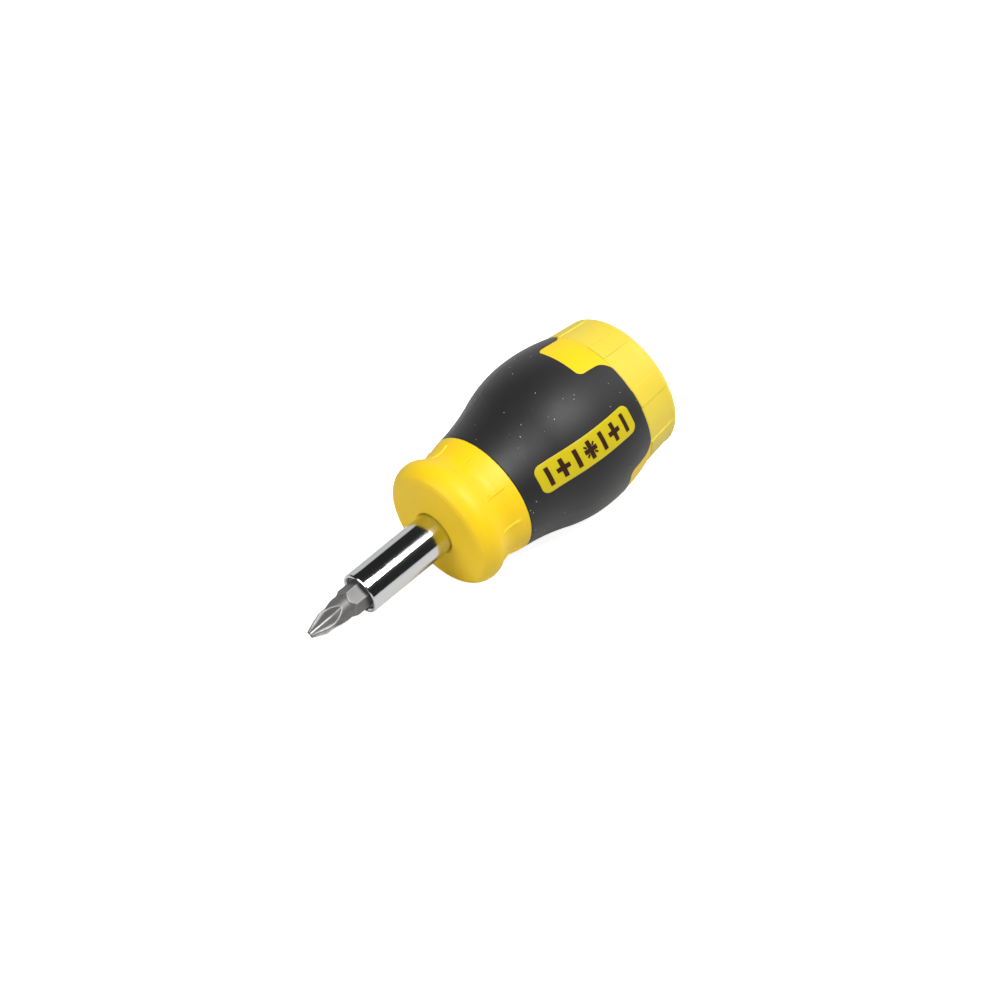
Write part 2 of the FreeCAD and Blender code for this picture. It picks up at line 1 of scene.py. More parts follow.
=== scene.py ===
"""Stubby screwdriver with changeable bits: its visible surfaces, finishes, light and camera.

Every surface is worked out in the tool's own round coordinates: the station along the axis
from the point of the fitted bit, the radius, and the angle round the axis from straight up
towards -Y. Lengths in those coordinates are in millimetres. ToolAxis turns them into metres
in the shared frame.
"""
import json
import logging
import math
from dataclasses import dataclass
from enum import Enum
from typing import Sequence

import bpy
import numpy as np
from mathutils import Matrix, Vector


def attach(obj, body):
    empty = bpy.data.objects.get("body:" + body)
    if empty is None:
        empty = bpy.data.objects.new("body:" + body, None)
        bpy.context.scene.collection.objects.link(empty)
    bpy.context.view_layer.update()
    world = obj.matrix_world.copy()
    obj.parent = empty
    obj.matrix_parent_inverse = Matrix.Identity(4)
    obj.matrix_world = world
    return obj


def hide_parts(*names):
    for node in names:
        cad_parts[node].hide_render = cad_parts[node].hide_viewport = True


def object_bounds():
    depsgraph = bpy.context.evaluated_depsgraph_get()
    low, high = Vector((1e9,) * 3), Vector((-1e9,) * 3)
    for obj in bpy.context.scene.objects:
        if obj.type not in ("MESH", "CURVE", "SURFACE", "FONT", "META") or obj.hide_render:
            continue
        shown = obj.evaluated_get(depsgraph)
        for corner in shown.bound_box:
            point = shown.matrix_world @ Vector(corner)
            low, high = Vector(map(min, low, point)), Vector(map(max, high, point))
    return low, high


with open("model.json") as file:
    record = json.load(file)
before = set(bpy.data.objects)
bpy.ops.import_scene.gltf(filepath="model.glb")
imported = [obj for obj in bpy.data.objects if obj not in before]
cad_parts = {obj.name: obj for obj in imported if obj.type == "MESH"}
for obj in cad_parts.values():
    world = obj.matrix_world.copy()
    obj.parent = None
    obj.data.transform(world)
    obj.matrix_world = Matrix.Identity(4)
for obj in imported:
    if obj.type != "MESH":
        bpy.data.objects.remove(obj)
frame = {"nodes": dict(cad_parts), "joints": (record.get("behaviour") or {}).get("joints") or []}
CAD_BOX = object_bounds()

LOG = logging.getLogger("screwdriver")
MM = 0.001
STRAIGHT = 1e-3
MIX_COLOURS = (6, 7)
MIX_RESULT = 2
NEVER_MET = 99.0
HEX_TURN = 30.0
WHITE = (1.0, 1.0, 1.0, 1.0)
Array = np.ndarray
Quads = tuple[Array, Array]
Colour = tuple[float, float, float]
Pair = tuple[float, float]
Piece = bpy.types.Object
Tree = bpy.types.NodeTree
Node = bpy.types.Node
Socket = bpy.types.NodeSocket


# ---------------------------------------------------------------- shared geometry


@dataclass(frozen=True)
class ToolAxis:
    """The tool's axis in the shared frame."""

    tip: Array
    along: Array

    @classmethod
    def from_frame(cls, cap_station: float = 93.6) -> "ToolAxis":
        """Axis read from the cap's turning joint.

        Args:
            cap_station: Station of that joint's point.

        Returns:
            The axis with its origin at the point of the fitted bit.
        """
        joint = next(item for item in frame["joints"] if item["name"] == "cap_twist")
        along = np.array(joint["axis"], float)
        along /= np.linalg.norm(along)
        return cls(np.array(joint["pos_m"], float) - along * cap_station * MM, along)

    @property
    def up(self) -> Array:
        """Direction of angle zero, square to the axis."""
        return np.array([-self.along[2], 0.0, self.along[0]])

    def place(self, station: Array, radius: Array, angle: Array) -> Array:
        """Point at each station, radius and angle.

        Args:
            station: Stations in millimetres.
            radius: Radii in millimetres, same shape.
            angle: Angles in radians, same shape.

        Returns:
            Array of the same shape with a last axis of x, y, z in metres.
        """
        station, radius, angle = np.broadcast_arrays(station, radius, angle)
        side = np.array([0.0, -1.0, 0.0])
        local = station[..., None] * self.along
        local = local + (radius * np.cos(angle))[..., None] * self.up
        local = local + (radius * np.sin(angle))[..., None] * side
        return self.tip + local * MM


AXIS = ToolAxis.from_frame()


def grid_faces(rows: int, columns: int, wrap_rows: bool, wrap_columns: bool) -> Array:
    """Quads between neighbouring points of a grid.

    Args:
        rows: Number of rows.
        columns: Number of points in a row.
        wrap_rows: Whether the last row joins the first.
        wrap_columns: Whether the last column joins the first.

    Returns:
        Array of four vertex numbers for each quad.
    """
    i = np.arange(rows if wrap_rows else rows - 1)[:, None]
    j = np.arange(columns if wrap_columns else columns - 1)[None, :]
    below = (i + 1) % rows
    beside = (j + 1) % columns
    quads = np.stack(
        [i * columns + j, i * columns + beside, below * columns + beside, below * columns + j], -1
    )
    return quads.reshape(-1, 4)


def new_piece(
    name: str, points: Array, faces: Sequence[Sequence[int]], crease_deg: float = 32.0
) -> Piece:
    """Object made of points and faces, shaded smooth between its creases.

    Args:
        name: Name of the piece.
        points: Array of x, y, z in metres.
        faces: Vertex numbers of each face.
        crease_deg: Edges that bend more than this stay sharp.

    Returns:
        The linked object.
    """
    mesh = bpy.data.meshes.new(name)
    mesh.from_pydata(points.reshape(-1, 3).tolist(), [], faces)
    mesh.validate()
    mesh.polygons.foreach_set("use_smooth", np.ones(len(mesh.polygons), bool))
    mesh.set_sharp_from_angle(angle=math.radians(crease_deg))
    mesh.update()
    piece = bpy.data.objects.new(name, mesh)
    bpy.context.scene.collection.objects.link(piece)
    return piece


def faces_inward(points: Array, quads: Array) -> bool:
    """Whether the quads of a closed surface face inwards.

    The area vectors of the faces, each dotted with the way from the middle of the points
    to the face, add up to three times the volume: less than nothing when they face inwards.
    """
    corner = points[quads]
    area = np.cross(corner[:, 2] - corner[:, 0], corner[:, 3] - corner[:, 1])
    return float((area * (corner.mean(1) - points.mean(0))).sum()) <= 0


def closed_rings(name: str, rings: Array, poles: bool, crease_deg: float = 32.0) -> Piece:
    """Closed surface through rings of points.

    With poles, the first and last ring shrink to a point each. Without, the last ring
    joins the first, as on a tube with a wall.

    Args:
        name: Name of the piece.
        rings: Array of rings, points round, x y z.
        poles: Whether the surface ends in two points.
        crease_deg: Edges that bend more than this stay sharp.

    Returns:
        The linked object.
    """
    count, columns, _ = rings.shape
    points = rings.reshape(-1, 3)
    quads = grid_faces(count, columns, not poles, True)
    order = slice(None, None, -1 if faces_inward(points, quads) else 1)
    if not poles:
        return new_piece(name, points, quads[:, order].tolist(), crease_deg)
    here = np.arange(columns) + 1
    beside = np.roll(here, -1)
    back = (count - 3) * columns
    ends = np.zeros(columns, int), np.full(columns, (count - 2) * columns + 1)
    first = np.stack([ends[0], beside, here], -1)
    last = np.stack([here + back, beside + back, ends[1]], -1)
    body = grid_faces(count - 2, columns, False, True) + 1
    faces = [face for part in (body, first, last) for face in part[:, order].tolist()]
    tips = rings[[0, -1]].mean(1)
    kept = np.concatenate([tips[:1], rings[1:-1].reshape(-1, 3), tips[1:]])
    return new_piece(name, kept, faces, crease_deg)


def plate_mesh(top: Array, bottom: Array) -> Quads:
    """Closed plate between an upper and a lower grid of points with the same layout.

    The grid of quads is doubled, the lower one reversed, and the two borders are joined
    by a strip all the way round.

    Args:
        top: Array of rows, columns, x y z.
        bottom: The same layout, below.

    Returns:
        Points and quads.
    """
    rows, columns, _ = top.shape
    count = rows * columns
    upper = grid_faces(rows, columns, False, False)
    index = np.arange(count).reshape(rows, columns)
    border = np.concatenate([index[0], index[1:, -1], index[-1, -2::-1], index[-2:0:-1, 0]])
    following = np.roll(border, -1)
    wall = np.stack([following, border, border + count, following + count], -1)
    quads = np.concatenate([upper, upper[:, ::-1] + count, wall])
    points = np.concatenate([top.reshape(-1, 3), bottom.reshape(-1, 3)])
    return points, quads[:, ::-1] if faces_inward(points, quads) else quads


def joined(name: str, parts: Sequence[Quads], crease_deg: float = 40.0) -> Piece:
    """One piece from several meshes of quads."""
    offsets = np.cumsum([0] + [len(points) for points, _ in parts[:-1]])
    quads = np.concatenate([quads + offset for (_, quads), offset in zip(parts, offsets)])
    return new_piece(name, np.concatenate([points for points, _ in parts]), quads.tolist(), crease_deg)


def paint_attribute(piece: Piece, name: str, values: Array) -> None:
    """Store one number for each vertex, for the finish to read."""
    layer = piece.data.attributes.new(name, "FLOAT", "POINT")
    layer.data.foreach_set("value", np.asarray(values, np.float32).ravel())


def smooth_step(value: Array, low: float, high: float) -> Array:
    """Zero below low, one above high, and a smooth cubic between."""
    t = np.clip((value - low) / (high - low), 0.0, 1.0)
    return t * t * (3.0 - 2.0 * t)


def soft_min(first: Array, second: Array, soft: float) -> Array:
    """Smaller of two values, rounded where they cross."""
    return 0.5 * (first + second - np.sqrt((first - second) ** 2 + soft * soft))


def hexagon_line(half_flats: float, angle: Array) -> Array:
    """Radius of a hexagon at angles in radians, with the middle of a flat at zero."""
    return half_flats / np.cos((angle + math.pi / 6) % (math.pi / 3) - math.pi / 6)


def rounded_path(
    corners: Sequence[tuple[float, float, float]], steps: int = 6, spacing: float = 1.5
) -> Array:
    """Open path through corners, each rounded by an arc that touches both runs.

    An arc of radius R at a corner that turns by an angle a starts R tan(a / 2) before
    the corner, and its points lie at equal turns. Runs are divided evenly.

    Args:
        corners: Station, radius and rounding of each corner.
        steps: Points along each arc.
        spacing: Longest step along a straight run.

    Returns:
        Array of station and radius.
    """
    given = np.array(corners, float)
    path = [given[:1, :2]]
    for before, here, after in zip(given[:-2], given[1:-1], given[2:]):
        path.append(round_corner(before[:2], here, after[:2], steps))
    path.append(given[-1:, :2])
    dense = [path[0]]
    for piece in path[1:]:
        start = dense[-1][-1]
        length = np.linalg.norm(piece[0] - start)
        count = max(int(math.ceil(length / spacing)), 1)
        t = np.linspace(0, 1, count + 1)[1:-1, None]
        dense.append(start + (piece[0] - start) * t)
        dense.append(piece)
    return np.concatenate(dense)


def round_corner(before: Array, corner: Array, after: Array, steps: int) -> Array:
    """Arc that rounds one corner; the corner alone if its rounding is zero."""
    point = corner[:2]
    rounding = corner[2]
    into = (point - before) / np.linalg.norm(point - before)
    out = (after - point) / np.linalg.norm(after - point)
    turn = math.acos(float(np.clip(into @ out, -1, 1)))
    if rounding <= 0 or turn < STRAIGHT:
        return point[None]
    reach = rounding * math.tan(turn / 2)
    side = math.copysign(1.0, into[0] * out[1] - into[1] * out[0])
    centre = point - into * reach + side * rounding * np.array([-into[1], into[0]])
    first = point - into * reach - centre
    angles = side * np.linspace(0, turn, steps)
    cosine, sine = np.cos(angles), np.sin(angles)
    turned = [first[0] * cosine - first[1] * sine, first[0] * sine + first[1] * cosine]
    return centre + np.stack(turned, -1)


def round_angles(count: int) -> Array:
    """Evenly spaced angles round the axis, in radians."""
    return np.arange(count) * (2 * math.pi / count)


def angles_with_detail(
    coarse: int, edges_deg: Array, reach_deg: float, steps: int, closest: float = 0.02
) -> Array:
    """Angles round the axis, closer together at named edges.

    Args:
        coarse: Number of evenly spaced angles.
        edges_deg: Angles of the edges in degrees.
        reach_deg: How far the close spacing goes to each side.
        steps: Angles in each close stretch.
        closest: Angles nearer than this to the next are left out, in degrees.

    Returns:
        Sorted angles in radians.
    """
    close = (np.asarray(edges_deg)[:, None] + np.linspace(-reach_deg, reach_deg, steps)).ravel()
    every = np.concatenate([np.arange(coarse) * 360.0 / coarse, close]) % 360.0
    every = np.unique(np.round(every, 4))
    kept = every[np.diff(np.append(every, every[0] + 360.0)) > closest]
    return np.radians(kept)


@dataclass(frozen=True)
class Arc:
    """Circular arc of the handle's outline: radius of the tool against station."""

    centre_station: float
    centre_radius: float
    bend: float
    side: float

    @classmethod
    def level_at(cls, crest: Pair, other: Pair) -> "Arc":
        """Arc that is level at its crest and passes through another point."""
        along = other[0] - crest[0]
        rise = other[1] - crest[1]
        bend = (along * along + rise * rise) / (2 * abs(rise))
        side = 1.0 if rise < 0 else -1.0
        return cls(crest[0], crest[1] - side * bend, bend, side)

    @classmethod
    def tangent_to(cls, neighbour: "Arc", shared: Pair, other: Pair) -> "Arc":
        """Arc that leaves a neighbour smoothly at a shared point and ends at another."""
        ray = np.array(shared) - np.array([neighbour.centre_station, neighbour.centre_radius])
        normal = ray / np.linalg.norm(ray)
        chord = np.array(other) - np.array(shared)
        reach = float(chord @ chord) / (2 * float(normal @ chord))
        centre = np.array(shared) + normal * reach
        side = 1.0 if centre[1] < shared[1] else -1.0
        return cls(float(centre[0]), float(centre[1]), abs(reach), side)

    def radius(self, station: Array) -> Array:
        """Tool radius at stations on the arc."""
        inside = np.maximum(self.bend**2 - (station - self.centre_station) ** 2, 0.0)
        return self.centre_radius + self.side * np.sqrt(inside)


@dataclass(frozen=True)
class HandleLine:
    """Outline of the handle from the flange to the rear edge of the grip."""

    face: Pair = (40.7, 14.0)
    flange: Pair = (44.7, 16.4)
    flange_back: Pair = (47.17, 15.67)
    waist: Pair = (50.44, 14.7)
    neck_end: Pair = (52.0, 14.91)
    grip_start: Pair = (56.0, 15.75)
    grip_middle: Pair = (69.0, 18.8)
    grip_crest: Pair = (81.0, 20.9)
    grip_end: Pair = (93.6, 19.1)

    def radius(self, station: Array) -> Array:
        """Radius of the outline.

        Each stretch is one arc: two meet at the flange's crest, two at the waist, and two
        at the grip's crest, and the last two stretches leave their neighbours smoothly.

        Args:
            station: Stations between the flange face and the rear edge.

        Returns:
            Radii.
        """
        waist_arc = Arc.level_at(self.waist, self.neck_end)
        rise = Arc.level_at(self.grip_crest, self.grip_middle)
        arcs = [
            Arc.level_at(self.flange, self.face),
            Arc.level_at(self.flange, self.flange_back),
            Arc.level_at(self.waist, self.flange_back),
            waist_arc,
            Arc.tangent_to(waist_arc, self.neck_end, self.grip_start),
            Arc.tangent_to(rise, self.grip_middle, self.grip_start),
            rise,
            Arc.level_at(self.grip_crest, self.grip_end),
        ]
        joints = (
            self.flange, self.flange_back, self.waist, self.neck_end,
            self.grip_start, self.grip_middle, self.grip_crest,
        )
        ends = [joint[0] for joint in joints]
        index = np.searchsorted(ends, station)
        every = np.stack([arc.radius(station) for arc in arcs])
        return np.take_along_axis(every, index[None], 0)[0]


LINE = HandleLine()


@dataclass(frozen=True)
class Window:
    """Opening in the grip that shows the hard core, seen from outside."""

    front: float = 85.0
    half_width: float = 6.84
    corner: float = 1.5
    flare_start: float = 90.4
    mouth: float = 93.7
    mouth_half_width: float = 9.4
    first_angle: float = -2.5
    count: int = 3

    @property
    def flare_bend(self) -> float:
        """Radius of the flare, which is tangent to the side and ends at the mouth."""
        along = self.mouth - self.flare_start
        out = self.mouth_half_width - self.half_width
        return (along * along + out * out) / (2 * out)

    def half_outline(self, rim: float, spacing: float = 0.24) -> Array:
        """Half of the outline, from the middle of the front edge to the rim.

        Args:
            rim: Station of the grip's rear edge.
            spacing: Step between points.

        Returns:
            Array of station and distance from the window's middle line.
        """
        corner = np.array([self.front + self.corner, self.half_width - self.corner])
        turn = np.linspace(0, math.pi / 2, 10)
        front = np.linspace(0, self.half_width - self.corner, int(self.half_width / spacing))[:-1]
        side = np.linspace(corner[0], self.flare_start, int(4.0 / spacing))[1:-1]
        last = math.asin(min((rim - self.flare_start) / self.flare_bend, 1.0))
        flare = np.linspace(0, last, 16)
        return np.concatenate([
            np.stack([np.full_like(front, self.front), front], -1),
            corner + self.corner * np.stack([-np.cos(turn), np.sin(turn)], -1),
            np.stack([side, np.full_like(side, self.half_width)], -1),
            np.stack([
                self.flare_start + self.flare_bend * np.sin(flare),
                self.half_width + self.flare_bend * (1 - np.cos(flare)),
            ], -1),
        ])

    def cover(self, station: Array, angle_deg: Array, margin: float) -> Array:
        """How far inside any window a point lies: one well inside, zero well outside."""
        radius = LINE.radius(np.clip(station, LINE.face[0], LINE.grip_end[0]))
        turn = (angle_deg - self.first_angle + 60.0) % 120.0 - 60.0
        across = np.abs(radius * np.sin(np.radians(turn)))
        past = np.clip(station - self.flare_start, 0, self.mouth - self.flare_start)
        flare = self.flare_bend - np.sqrt(np.maximum(self.flare_bend**2 - past**2, 0))
        sides = 1 - smooth_step(across - self.half_width - flare, 0.4 * margin, margin)
        ends = smooth_step(station - self.front, -margin, -0.4 * margin)
        return sides * ends


WINDOW = Window()


# ---------------------------------------------------------------- finishes


class Coat(Enum):
    """Kinds of surface that a finish can have."""

    MOULDED = "moulded"
    SOFT = "soft"
    PLATED = "plated"
    BLASTED = "blasted"


def feed(tree: Tree, socket: Socket, given: object) -> None:
    """Link a socket to another, or set its value."""
    if isinstance(given, Socket):
        tree.links.new(given, socket)
    else:
        socket.default_value = given


def maths(tree: Tree, operation: str, *inputs: object) -> Socket:
    """One maths node with its inputs linked or set; returns its output."""
    node = tree.nodes.new("ShaderNodeMath")
    node.operation = operation
    for socket, given in zip(node.inputs, inputs):
        feed(tree, socket, given)
    return node.outputs[0]


def number_in(tree: Tree, name: str, default: float) -> None:
    """Named number that a node group takes."""
    socket = tree.interface.new_socket(name=name, in_out="INPUT", socket_type="NodeSocketFloat")
    socket.default_value = default


def number_out(tree: Tree, name: str) -> None:
    """Named number that a node group gives."""
    tree.interface.new_socket(name=name, in_out="OUTPUT", socket_type="NodeSocketFloat")


def map_range(tree: Tree, value: Socket, given: Sequence[float], wanted: Sequence[float]) -> Socket:
    """Smoothly map a value from one range to another."""
    node = tree.nodes.new("ShaderNodeMapRange")
    node.interpolation_type = "SMOOTHSTEP"
    tree.links.new(value, node.inputs["Value"])
    for name, number in zip(("From Min", "From Max", "To Min", "To Max"), (*given, *wanted)):
        node.inputs[name].default_value = number
    return node.outputs["Result"]


def noise(tree: Tree, vector: Socket, scale: object, detail: float, rough: float = 0.5) -> Socket:
    """Noise over a vector; returns its value between nought and one."""
    node = tree.nodes.new("ShaderNodeTexNoise")
    for name, given in zip(("Vector", "Scale", "Detail", "Roughness"), (vector, scale, detail, rough)):
        feed(tree, node.inputs[name], given)
    return node.outputs["Fac"]


class Effects:
    """Node groups that several finishes share, each built once."""

    broad_share: float = 0.22
    fleck_size: float = 0.15
    wear_and_highlight_scale: float = 1400.0
    slow_low: float = 0.32
    slow_high: float = 0.68

    def __init__(self) -> None:
        """Build every group."""
        self.grain = self._grain()
        self.flecks = self._flecks()
        self.wear_and_highlight = self._wear_and_highlight()
        self.handling = self._handling()

    @staticmethod
    def _start(name: str) -> tuple[Tree, Node, Node]:
        """Empty group with a vector input."""
        tree = bpy.data.node_groups.new(name, "ShaderNodeTree")
        tree.interface.new_socket(name="Vector", in_out="INPUT", socket_type="NodeSocketVector")
        return tree, tree.nodes.new("NodeGroupInput"), tree.nodes.new("NodeGroupOutput")

    def _grain(self) -> Tree:
        """Fine moulded or blasted texture: two noises added, as a height."""
        tree, given, out = self._start("fine_grain")
        number_in(tree, "Scale", 2000.0)
        number_out(tree, "Height")
        fine = noise(tree, given.outputs["Vector"], given.outputs["Scale"], 2.0, 0.6)
        wide = maths(tree, "MULTIPLY", given.outputs["Scale"], self.broad_share)
        broad = noise(tree, given.outputs["Vector"], wide, 1.0, 0.5)
        half = maths(tree, "MULTIPLY", broad, 0.6)
        tree.links.new(maths(tree, "ADD", fine, half), out.inputs["Height"])
        return tree

    def _flecks(self) -> Tree:
        """Sparse dust: the middles of a few cells, picked by a second noise."""
        tree, given, out = self._start("dust_flecks")
        number_in(tree, "Scale", 1500.0)
        number_in(tree, "Amount", 0.5)
        number_out(tree, "Mask")
        cells = tree.nodes.new("ShaderNodeTexVoronoi")
        tree.links.new(given.outputs["Vector"], cells.inputs["Vector"])
        tree.links.new(given.outputs["Scale"], cells.inputs["Scale"])
        near = maths(tree, "LESS_THAN", cells.outputs["Distance"], self.fleck_size)
        parts = tree.nodes.new("ShaderNodeSeparateColor")
        tree.links.new(cells.outputs["Color"], parts.inputs["Color"])
        limit = maths(tree, "SUBTRACT", 1.0, given.outputs["Amount"])
        few = maths(tree, "GREATER_THAN", parts.outputs["Red"], limit)
        tree.links.new(maths(tree, "MULTIPLY", near, few), out.inputs["Mask"])
        return tree

    def _wear_and_highlight(self) -> Tree:
        """Edge wear and painted edge highlight: the piece's edge mask, broken up by noise."""
        tree, given, out = self._start("edge_wear")
        number_in(tree, "Edge", 0.0)
        number_in(tree, "Amount", 0.5)
        number_out(tree, "Mask")
        broken = noise(tree, given.outputs["Vector"], self.wear_and_highlight_scale, 3.0, 0.6)
        lifted = maths(tree, "ADD", broken, 0.35)
        mask = maths(tree, "MULTIPLY", given.outputs["Edge"], lifted)
        scaled = maths(tree, "MULTIPLY", mask, given.outputs["Amount"])
        tree.links.new(maths(tree, "MINIMUM", scaled, 1.0), out.inputs["Mask"])
        return tree

    def _handling(self) -> Tree:
        """Uneven gloss from handling: slow noise between two roughness values."""
        tree, given, out = self._start("handling_marks")
        number_in(tree, "Scale", 90.0)
        number_in(tree, "Low", 0.3)
        number_in(tree, "High", 0.4)
        number_out(tree, "Mask")
        number_out(tree, "Roughness")
        slow = noise(tree, given.outputs["Vector"], given.outputs["Scale"], 4.0, 0.6)
        ramp = tree.nodes.new("ShaderNodeMapRange")
        values = (slow, self.slow_low, self.slow_high, given.outputs["Low"], given.outputs["High"])
        for name, value in zip(("Value", "From Min", "From Max", "To Min", "To Max"), values):
            feed(tree, ramp.inputs[name], value)
        tree.links.new(ramp.outputs["Result"], out.inputs["Roughness"])
        tree.links.new(slow, out.inputs["Mask"])
        return tree


@dataclass(frozen=True)
class Finish:
    """One finish: its colours, gloss and the strength of its surface detail."""

    name: str
    coat: Coat
    base: Colour
    tint: Colour
    gloss: Pair
    grain_scale: float
    grain_depth: float
    fleck_amount: float = 0.0
    fleck_colour: Colour = (0.75, 0.74, 0.72)
    wear_and_highlight_colour: Colour = (0.8, 0.8, 0.8)
    wear_and_highlight_amount: float = 0.0
    wear_polish: float = 0.12
    subsurface: float = 0.0

    def build(self, effects: Effects) -> bpy.types.Material:
        """Make the material.

        Args:
            effects: The shared node groups.

        Returns:
            The material, with its Principled BSDF fed by the groups.
        """
        material = bpy.data.materials.new(self.name)
        material.use_nodes = True
        tree = material.node_tree
        shader = tree.nodes["Principled BSDF"]
        coords = tree.nodes.new("ShaderNodeTexCoord").outputs["Object"]
        handling = self._use(tree, effects.handling, coords, Low=self.gloss[0], High=self.gloss[1])
        grain = self._use(tree, effects.grain, coords, Scale=self.grain_scale)
        colour = self._blend(tree, handling.outputs["Mask"], (*self.base, 1.0), (*self.tint, 1.0))
        rough = handling.outputs["Roughness"]
        # Near-white colour along the edge mask: partly bare-metal wear, partly painted highlight.
        if self.wear_and_highlight_amount:
            edge = tree.nodes.new("ShaderNodeAttribute")
            edge.attribute_name = "edge"
            wear_and_highlight = self._use(tree, effects.wear_and_highlight, coords, Amount=self.wear_and_highlight_amount)
            tree.links.new(edge.outputs["Fac"], wear_and_highlight.inputs["Edge"])
            colour = self._blend(tree, wear_and_highlight.outputs["Mask"], colour, (*self.wear_and_highlight_colour, 1.0))
            drop = maths(tree, "MULTIPLY", wear_and_highlight.outputs["Mask"], self.wear_polish)
            rough = maths(tree, "SUBTRACT", rough, drop)
        if self.fleck_amount:
            flecks = self._use(tree, effects.flecks, coords, Amount=self.fleck_amount)
            colour = self._blend(tree, flecks.outputs["Mask"], colour, (*self.fleck_colour, 1.0))
        tree.links.new(colour, shader.inputs["Base Color"])
        tree.links.new(rough, shader.inputs["Roughness"])
        bump = tree.nodes.new("ShaderNodeBump")
        bump.inputs["Distance"].default_value = self.grain_depth * MM
        bump.inputs["Strength"].default_value = 1.0
        tree.links.new(grain.outputs["Height"], bump.inputs["Height"])
        tree.links.new(bump.outputs["Normal"], shader.inputs["Normal"])
        self._set_constants(shader)
        return material

    def _set_constants(self, shader: Node) -> None:
        """Set what is the same all over the surface."""
        constants = {
            Coat.MOULDED: {
                "IOR": 1.42,
                "Subsurface Weight": self.subsurface,
                "Subsurface Radius": (1.0, 0.7, 0.15),
                "Subsurface Scale": 0.0012,
            },
            Coat.SOFT: {"IOR": 1.43, "Sheen Weight": 0.12, "Sheen Roughness": 0.45},
            Coat.PLATED: {"Metallic": 1.0},
            Coat.BLASTED: {"Metallic": 0.55},
        }
        for name, value in constants[self.coat].items():
            shader.inputs[name].default_value = value

    @staticmethod
    def _use(tree: Tree, group: Tree, coords: Socket, **values: float) -> Node:
        """Place a shared group with its own values."""
        node = tree.nodes.new("ShaderNodeGroup")
        node.node_tree = group
        tree.links.new(coords, node.inputs["Vector"])
        for name, value in values.items():
            node.inputs[name].default_value = value
        return node

    @staticmethod
    def _blend(tree: Tree, factor: Socket, first: object, second: object) -> Socket:
        """Mix two colours by a mask."""
        node = tree.nodes.new("ShaderNodeMix")
        node.data_type = "RGBA"
        feed(tree, node.inputs["Factor"], factor)
        for index, given in zip(MIX_COLOURS, (first, second)):
            feed(tree, node.inputs[index], given)
        return node.outputs[MIX_RESULT]


def from_screen(red: int, green: int, blue: int) -> Colour:
    """Linear colour from the numbers of a screen colour."""
    coded = np.array([red, green, blue]) / 255.0
    linear = np.where(coded <= 0.04045, coded / 12.92, ((coded + 0.055) / 1.055) ** 2.4)
    return tuple(float(part) for part in linear)


class Finishes:
    """All finishes of the tool, built once."""

    def __init__(self) -> None:
        """Build every material."""
        effects = Effects()
        plain, soft, plated, blasted = Coat.MOULDED, Coat.SOFT, Coat.PLATED, Coat.BLASTED
        yellow = dict(grain_scale=2600.0, grain_depth=0.004, subsurface=0.12)
        recipes = [
            Finish("hard_yellow", plain, (0.93, 0.62, 0.006), (0.91, 0.60, 0.005), (0.46, 0.54), **yellow),
            Finish("cap_yellow", plain, (0.79, 0.615, 0.062), (0.77, 0.595, 0.054), (0.40, 0.48), **yellow),
            Finish("badge_yellow", plain, (0.62, 0.50, 0.010), (0.59, 0.475, 0.008), (0.34, 0.40), **yellow),
            Finish(
                "badge_ink", plain, from_screen(48, 24, 12), from_screen(54, 28, 14), (0.40, 0.46),
                grain_scale=2600.0, grain_depth=0.003,
            ),
            Finish(
                "carrier_plastic", plain, from_screen(36, 36, 38), from_screen(42, 42, 44), (0.48, 0.56),
                grain_scale=2600.0, grain_depth=0.006,
            ),
            Finish(
                "soft_black", soft, from_screen(27, 27, 28), from_screen(32, 32, 33), (0.49, 0.57),
                grain_scale=3400.0, grain_depth=0.012, fleck_amount=0.035,
            ),
            Finish(
                "seal_rubber", soft, from_screen(22, 22, 22), from_screen(28, 28, 28), (0.55, 0.65),
                grain_scale=3000.0, grain_depth=0.006,
            ),
            Finish(
                "sleeve_chrome", plated, (0.66, 0.67, 0.68), (0.64, 0.65, 0.66), (0.09, 0.13),
                grain_scale=3600.0, grain_depth=0.0014,
            ),
            Finish(
                "magnet_nickel", plated, (0.62, 0.60, 0.56), (0.56, 0.54, 0.50), (0.16, 0.24),
                grain_scale=1500.0, grain_depth=0.001,
            ),
            Finish(
                "spring_steel", plated, (0.40, 0.40, 0.41), (0.34, 0.34, 0.35), (0.22, 0.30),
                grain_scale=1500.0, grain_depth=0.001,
            ),
            # Bit steel: its near-white edge colour is partly wear, partly painted highlight.
            Finish(
                "bit_steel", blasted, (0.185, 0.18, 0.178), (0.155, 0.15, 0.148), (0.50, 0.60),
                grain_scale=5200.0, grain_depth=0.012, wear_and_highlight_amount=1.0, wear_and_highlight_colour=(0.92, 0.91, 0.90),
            ),
            Finish(
                "socket_steel", blasted, (0.22, 0.22, 0.22), (0.16, 0.16, 0.16), (0.36, 0.48),
                grain_scale=4200.0, grain_depth=0.006,
            ),
        ]
        self._made = {recipe.name: recipe.build(effects) for recipe in recipes}

    def dress(self, piece: Piece, name: str) -> None:
        """Give a piece its finish."""
        piece.data.materials.clear()
        piece.data.materials.append(self._made[name])


# ---------------------------------------------------------------- the sub-assemblies


@dataclass
class Assembly:
    """What every sub-assembly shares: its finishes and the body it rides on."""

    finishes: Finishes

    def place(self, piece: Piece, body: str, finish: str, slot: str, *nodes: str) -> None:
        """Dress a piece, let it ride on its body and stand for its nodes.

        Args:
            piece: The new piece.
            body: Body of the frame that it moves with.
            finish: Name of its finish.
            slot: Name of the record's material slot; not used.
            nodes: Frame nodes that it stands for.
        """
        self.finishes.dress(piece, finish)
        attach(piece, body)
        if nodes:
            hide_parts(*nodes)
        LOG.info("%s: %d faces on %s", piece.name, len(piece.data.polygons), body)


